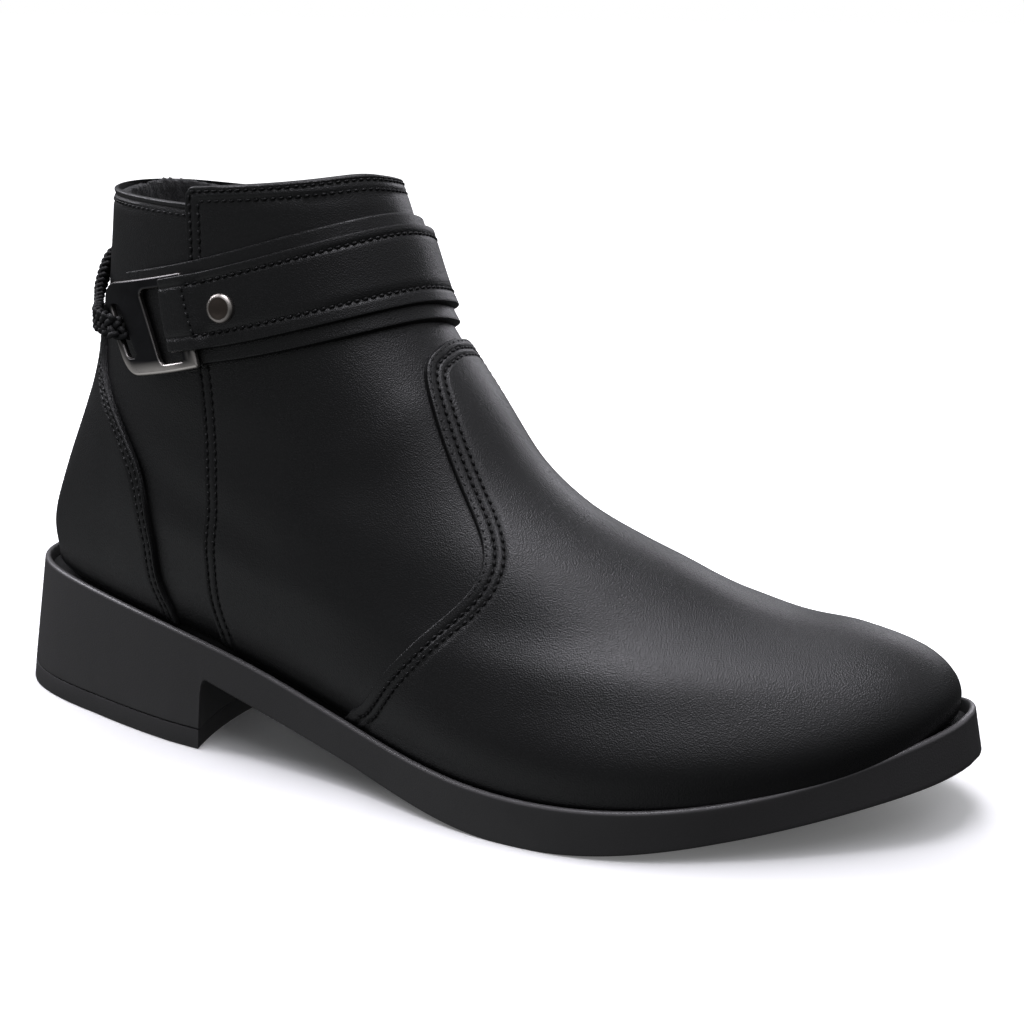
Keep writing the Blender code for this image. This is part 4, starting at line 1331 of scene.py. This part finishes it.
class BOOT_OT_stitches(Operator):
    """Rows of stitches along the panels, the collar and the strap"""

    bl_idname = "boot.stitches"
    bl_label = "Stitches"

    def execute(self, context):
        sizes = context.scene.boot_sizes
        thread = threads("black_thread", context.scene.boot_colours.thread, 0.4)
        sunk = sizes.trough_deep * MM * 0.7
        for name, runs, slot in (
            ("vamp_stitches", self.vamp(sizes, sunk), "black_leather"),
            ("quarter_stitches", self.quarter(sizes, sunk), "black_leather"),
            ("counter_stitches", self.counter(sizes, sunk), "black_leather"),
            ("strap_stitches", self.strap(sizes, sunk), "strap_leather"),
        ):
            add_piece(name, [(grids, True) for grids in runs], thread, (), 60.0)
        return {"FINISHED"}

    def both_sides(self, degrees, level, distance, sizes, rise=np.zeros_like):
        return [stitch_row(degrees, level, distance, sizes, rise),
                stitch_row(360 - degrees, level, distance, sizes, rise)]

    def vamp(self, sizes, sunk):
        edge, level = vamp_outline(240)
        runs = []
        for row in VAMP_ROWS:
            lowest = 0.45 if row == VAMP_ROWS[0] else 0.012
            for side, towards in ((edge, -row), (vamp_inner(level), row)):
                degrees, rows = inset_curve(side, level, towards)
                keep = (rows > lowest) & ((degrees < 184) == (towards < 0))
                runs.append(stitch_row(degrees[keep], rows[keep], VAMP[1] - sunk, sizes))
        return runs

    def quarter(self, sizes, sunk):
        level = np.linspace(0.015, 0.999, 240)
        edge = seam_at(level)
        runs = []
        for row in SEAM_ROWS:
            degrees, rows = inset_curve(edge, level, -row)
            keep = rows < below_collar(degrees, row, front_rise)
            runs += self.both_sides(degrees[keep], rows[keep], QUARTER - sunk, sizes, front_rise)
            start = degrees[keep][-1]
            collar = np.linspace(start, 360 - start, 200)
            level_of = below_collar(collar, row, front_rise)
            runs.append(stitch_row(collar, level_of, QUARTER - sunk, sizes, front_rise))
        for row in REAR_ROWS:
            reach = float(seam_at(np.array(1.0))) - 0.5
            behind = np.linspace(-reach, reach, 160)
            level_of = below_collar(behind, row, rear_rise)
            runs.append(stitch_row(behind, level_of, REAR[1] - sunk, sizes, rear_rise))
        return runs

    def counter(self, sizes, sunk):
        level = np.linspace(0.012, COUNTER_TOP - 0.004, 200)
        runs = []
        for row in COUNTER_ROWS:
            degrees, rows = inset_curve(counter_at(level), level, row)
            top = COUNTER_TOP - row / LEVEL_MM
            keep = rows < top
            runs += self.both_sides(degrees[keep], rows[keep], COUNTER[1] - sunk, sizes)
            reach = float(np.interp(top, rows, degrees))
            across = np.linspace(-reach, reach, 80)
            runs.append(stitch_row(across, np.full(80, top), COUNTER[1] - sunk, sizes))
        return runs

    def strap(self, sizes, sunk):
        run = over_strap_run()[:2, :206]
        scale = float(millimetres_per_level(np.array(120.0)))
        top = OVER_HALF - STRAP_ROWS[0] / scale
        low = OVER_HALF - STRAP_ROWS[1] / scale
        keep = run[0] > FOLD_AT + 0.6
        degrees, distance = run[:, keep] - np.array([[0.0], [sunk * 0.8]])
        runs = [stitch_row(degrees, strap_middle(degrees) + top, distance, sizes),
                stitch_row(degrees, strap_middle(degrees) - low, distance, sizes)]
        ends = ((FOLD_AT + 0.6, FOLD_AT + 1.6), (OVER_ENDS[1] - 3.0, OVER_ENDS[1] - 3.0))
        for upper, lower in ends:
            degrees = np.linspace(upper, lower, 40)
            across = np.linspace(top, -low, 40)
            height = np.interp(degrees, run[0, ::-1], run[1, ::-1]) + 0.05
            runs.append(stitch_row(degrees, strap_middle(degrees) + across, height, sizes))
        return runs


class BOOT_OT_stage(Operator):
    """White floor, soft studio lights and the camera"""

    bl_idname = "boot.stage"
    bl_label = "Stage"

    def execute(self, context):
        scene = context.scene
        side = np.linspace(-FLOOR_HALF, FLOOR_HALF, 3)
        grid = np.stack(np.meshgrid(side, side) + [np.zeros((3, 3))], -1)
        mesh = bpy.data.meshes.new("floor")
        mesh.from_pydata(grid.reshape(-1, 3).tolist(), [], grid_faces(3, 3).tolist())
        mesh.materials.append(pale_floor("studio_floor", scene.boot_colours.floor))
        floor = bpy.data.objects.new("floor", mesh)
        floor.visible_glossy = False
        floor.visible_diffuse = False
        scene.collection.objects.link(floor)
        self.sky(scene)
        for softbox in SOFTBOXES:
            self.light(scene, *softbox)
        eye = bpy.data.cameras.new("camera")
        eye.lens = scene.boot_sizes.lens
        eye.sensor_width = SENSOR
        camera = bpy.data.objects.new("camera", eye)
        camera.location = CAMERA_AT
        camera.rotation_euler = self.towards(camera.location, CAMERA_TO)
        scene.collection.objects.link(camera)
        scene.camera = camera
        scene.view_settings.view_transform = "Standard"
        return {"FINISHED"}

    def towards(self, place, target):
        return (Vector(target) - Vector(place)).to_track_quat("-Z", "Y").to_euler()

    def light(self, scene, name, around, above, size, power):
        """A square softbox, at this turn round the boot and this angle above the floor."""
        lamp = bpy.data.lights.new(name, "AREA")
        lamp.shape = "SQUARE"
        lamp.size = size
        lamp.energy = power
        lamp.color = SOFTBOX_COLOUR
        around, above = math.radians(around), math.radians(above)
        flat = math.cos(above)
        away = Vector((math.cos(around) * flat, math.sin(around) * flat, math.sin(above)))
        lit = bpy.data.objects.new(name, lamp)
        lit.location = SOFTBOX_TO + away * SOFTBOX_AWAY
        lit.rotation_euler = self.towards(lit.location, SOFTBOX_TO)
        scene.collection.objects.link(lit)

    def sky(self, scene):
        """A white surround to look at, and a dim one that lights the boot: pale above, darker at the
        horizon, and pale again below it on the outer side, where a white floor would shine back."""
        world = bpy.data.worlds.new("studio")
        world.use_nodes = True
        tree = world.node_tree
        looking = add_node(tree, "TexCoord", "Generated")
        height = add_node(tree, "SeparateXYZ", "Z", {"Vector": looking})
        outer = vector_math(tree, "DOT_PRODUCT", "Value", looking, (-0.5, -0.86, 0.0))
        shine = between(tree, outer, 0.0, 0.4, 0.1, 0.9)
        below = between(tree, height, 1.0, 0.0, -0.3, -0.02)
        above = between(tree, height, 0.05, 0.22, -0.1, 0.25)
        strength = added(tree, above, added(tree, shine, below, "MULTIPLY"))
        lit = add_node(tree, "Background", 0, {"Color": (0.95, 0.97, 1.0, 1.0), "Strength": strength})
        seen = tree.nodes["Background"]
        feed(tree, seen, {"Color": (1.0, 1.0, 1.0, 1.0), "Strength": 1.0})
        camera_ray = add_node(tree, "LightPath", "Is Camera Ray")
        mixed = add_node(tree, "MixShader", 0, {"Fac": camera_ray, 1: lit, 2: seen.outputs[0]})
        feed(tree, tree.nodes["World Output"], {"Surface": mixed})
        scene.world = world


PIECES = (BOOT_OT_sole, BOOT_OT_inside, BOOT_OT_panels, BOOT_OT_straps, BOOT_OT_metal, BOOT_OT_cord,
          BOOT_OT_stitches, BOOT_OT_stage)


class BOOT_PT_sidebar(Panel):
    """The boot's pieces, sizes and colours"""

    bl_idname = "BOOT_PT_sidebar"
    bl_label = "Buckle ankle boot"
    bl_space_type = "VIEW_3D"
    bl_region_type = "UI"
    bl_category = "Boot"

    def draw(self, context):
        for settings in (context.scene.boot_sizes, context.scene.boot_colours):
            for name in settings.__annotations__:
                self.layout.prop(settings, name)
        for piece in PIECES:
            self.layout.operator(piece.bl_idname)


CLASSES = (BootSizes, BootColours, *PIECES, BOOT_PT_sidebar)


def register():
    for item in CLASSES:
        bpy.utils.register_class(item)
    bpy.types.Scene.boot_sizes = PointerProperty(type=BootSizes)
    bpy.types.Scene.boot_colours = PointerProperty(type=BootColours)


def unregister():
    del bpy.types.Scene.boot_colours
    del bpy.types.Scene.boot_sizes
    for item in reversed(CLASSES):
        bpy.utils.unregister_class(item)


def main():
    register()
    bpy.ops.boot.sole()
    bpy.ops.boot.inside()
    bpy.ops.boot.panels()
    bpy.ops.boot.straps()
    bpy.ops.boot.metal()
    bpy.ops.boot.cord()
    bpy.ops.boot.stitches()
    bpy.ops.boot.stage()


if __name__ == "__main__":
    main()
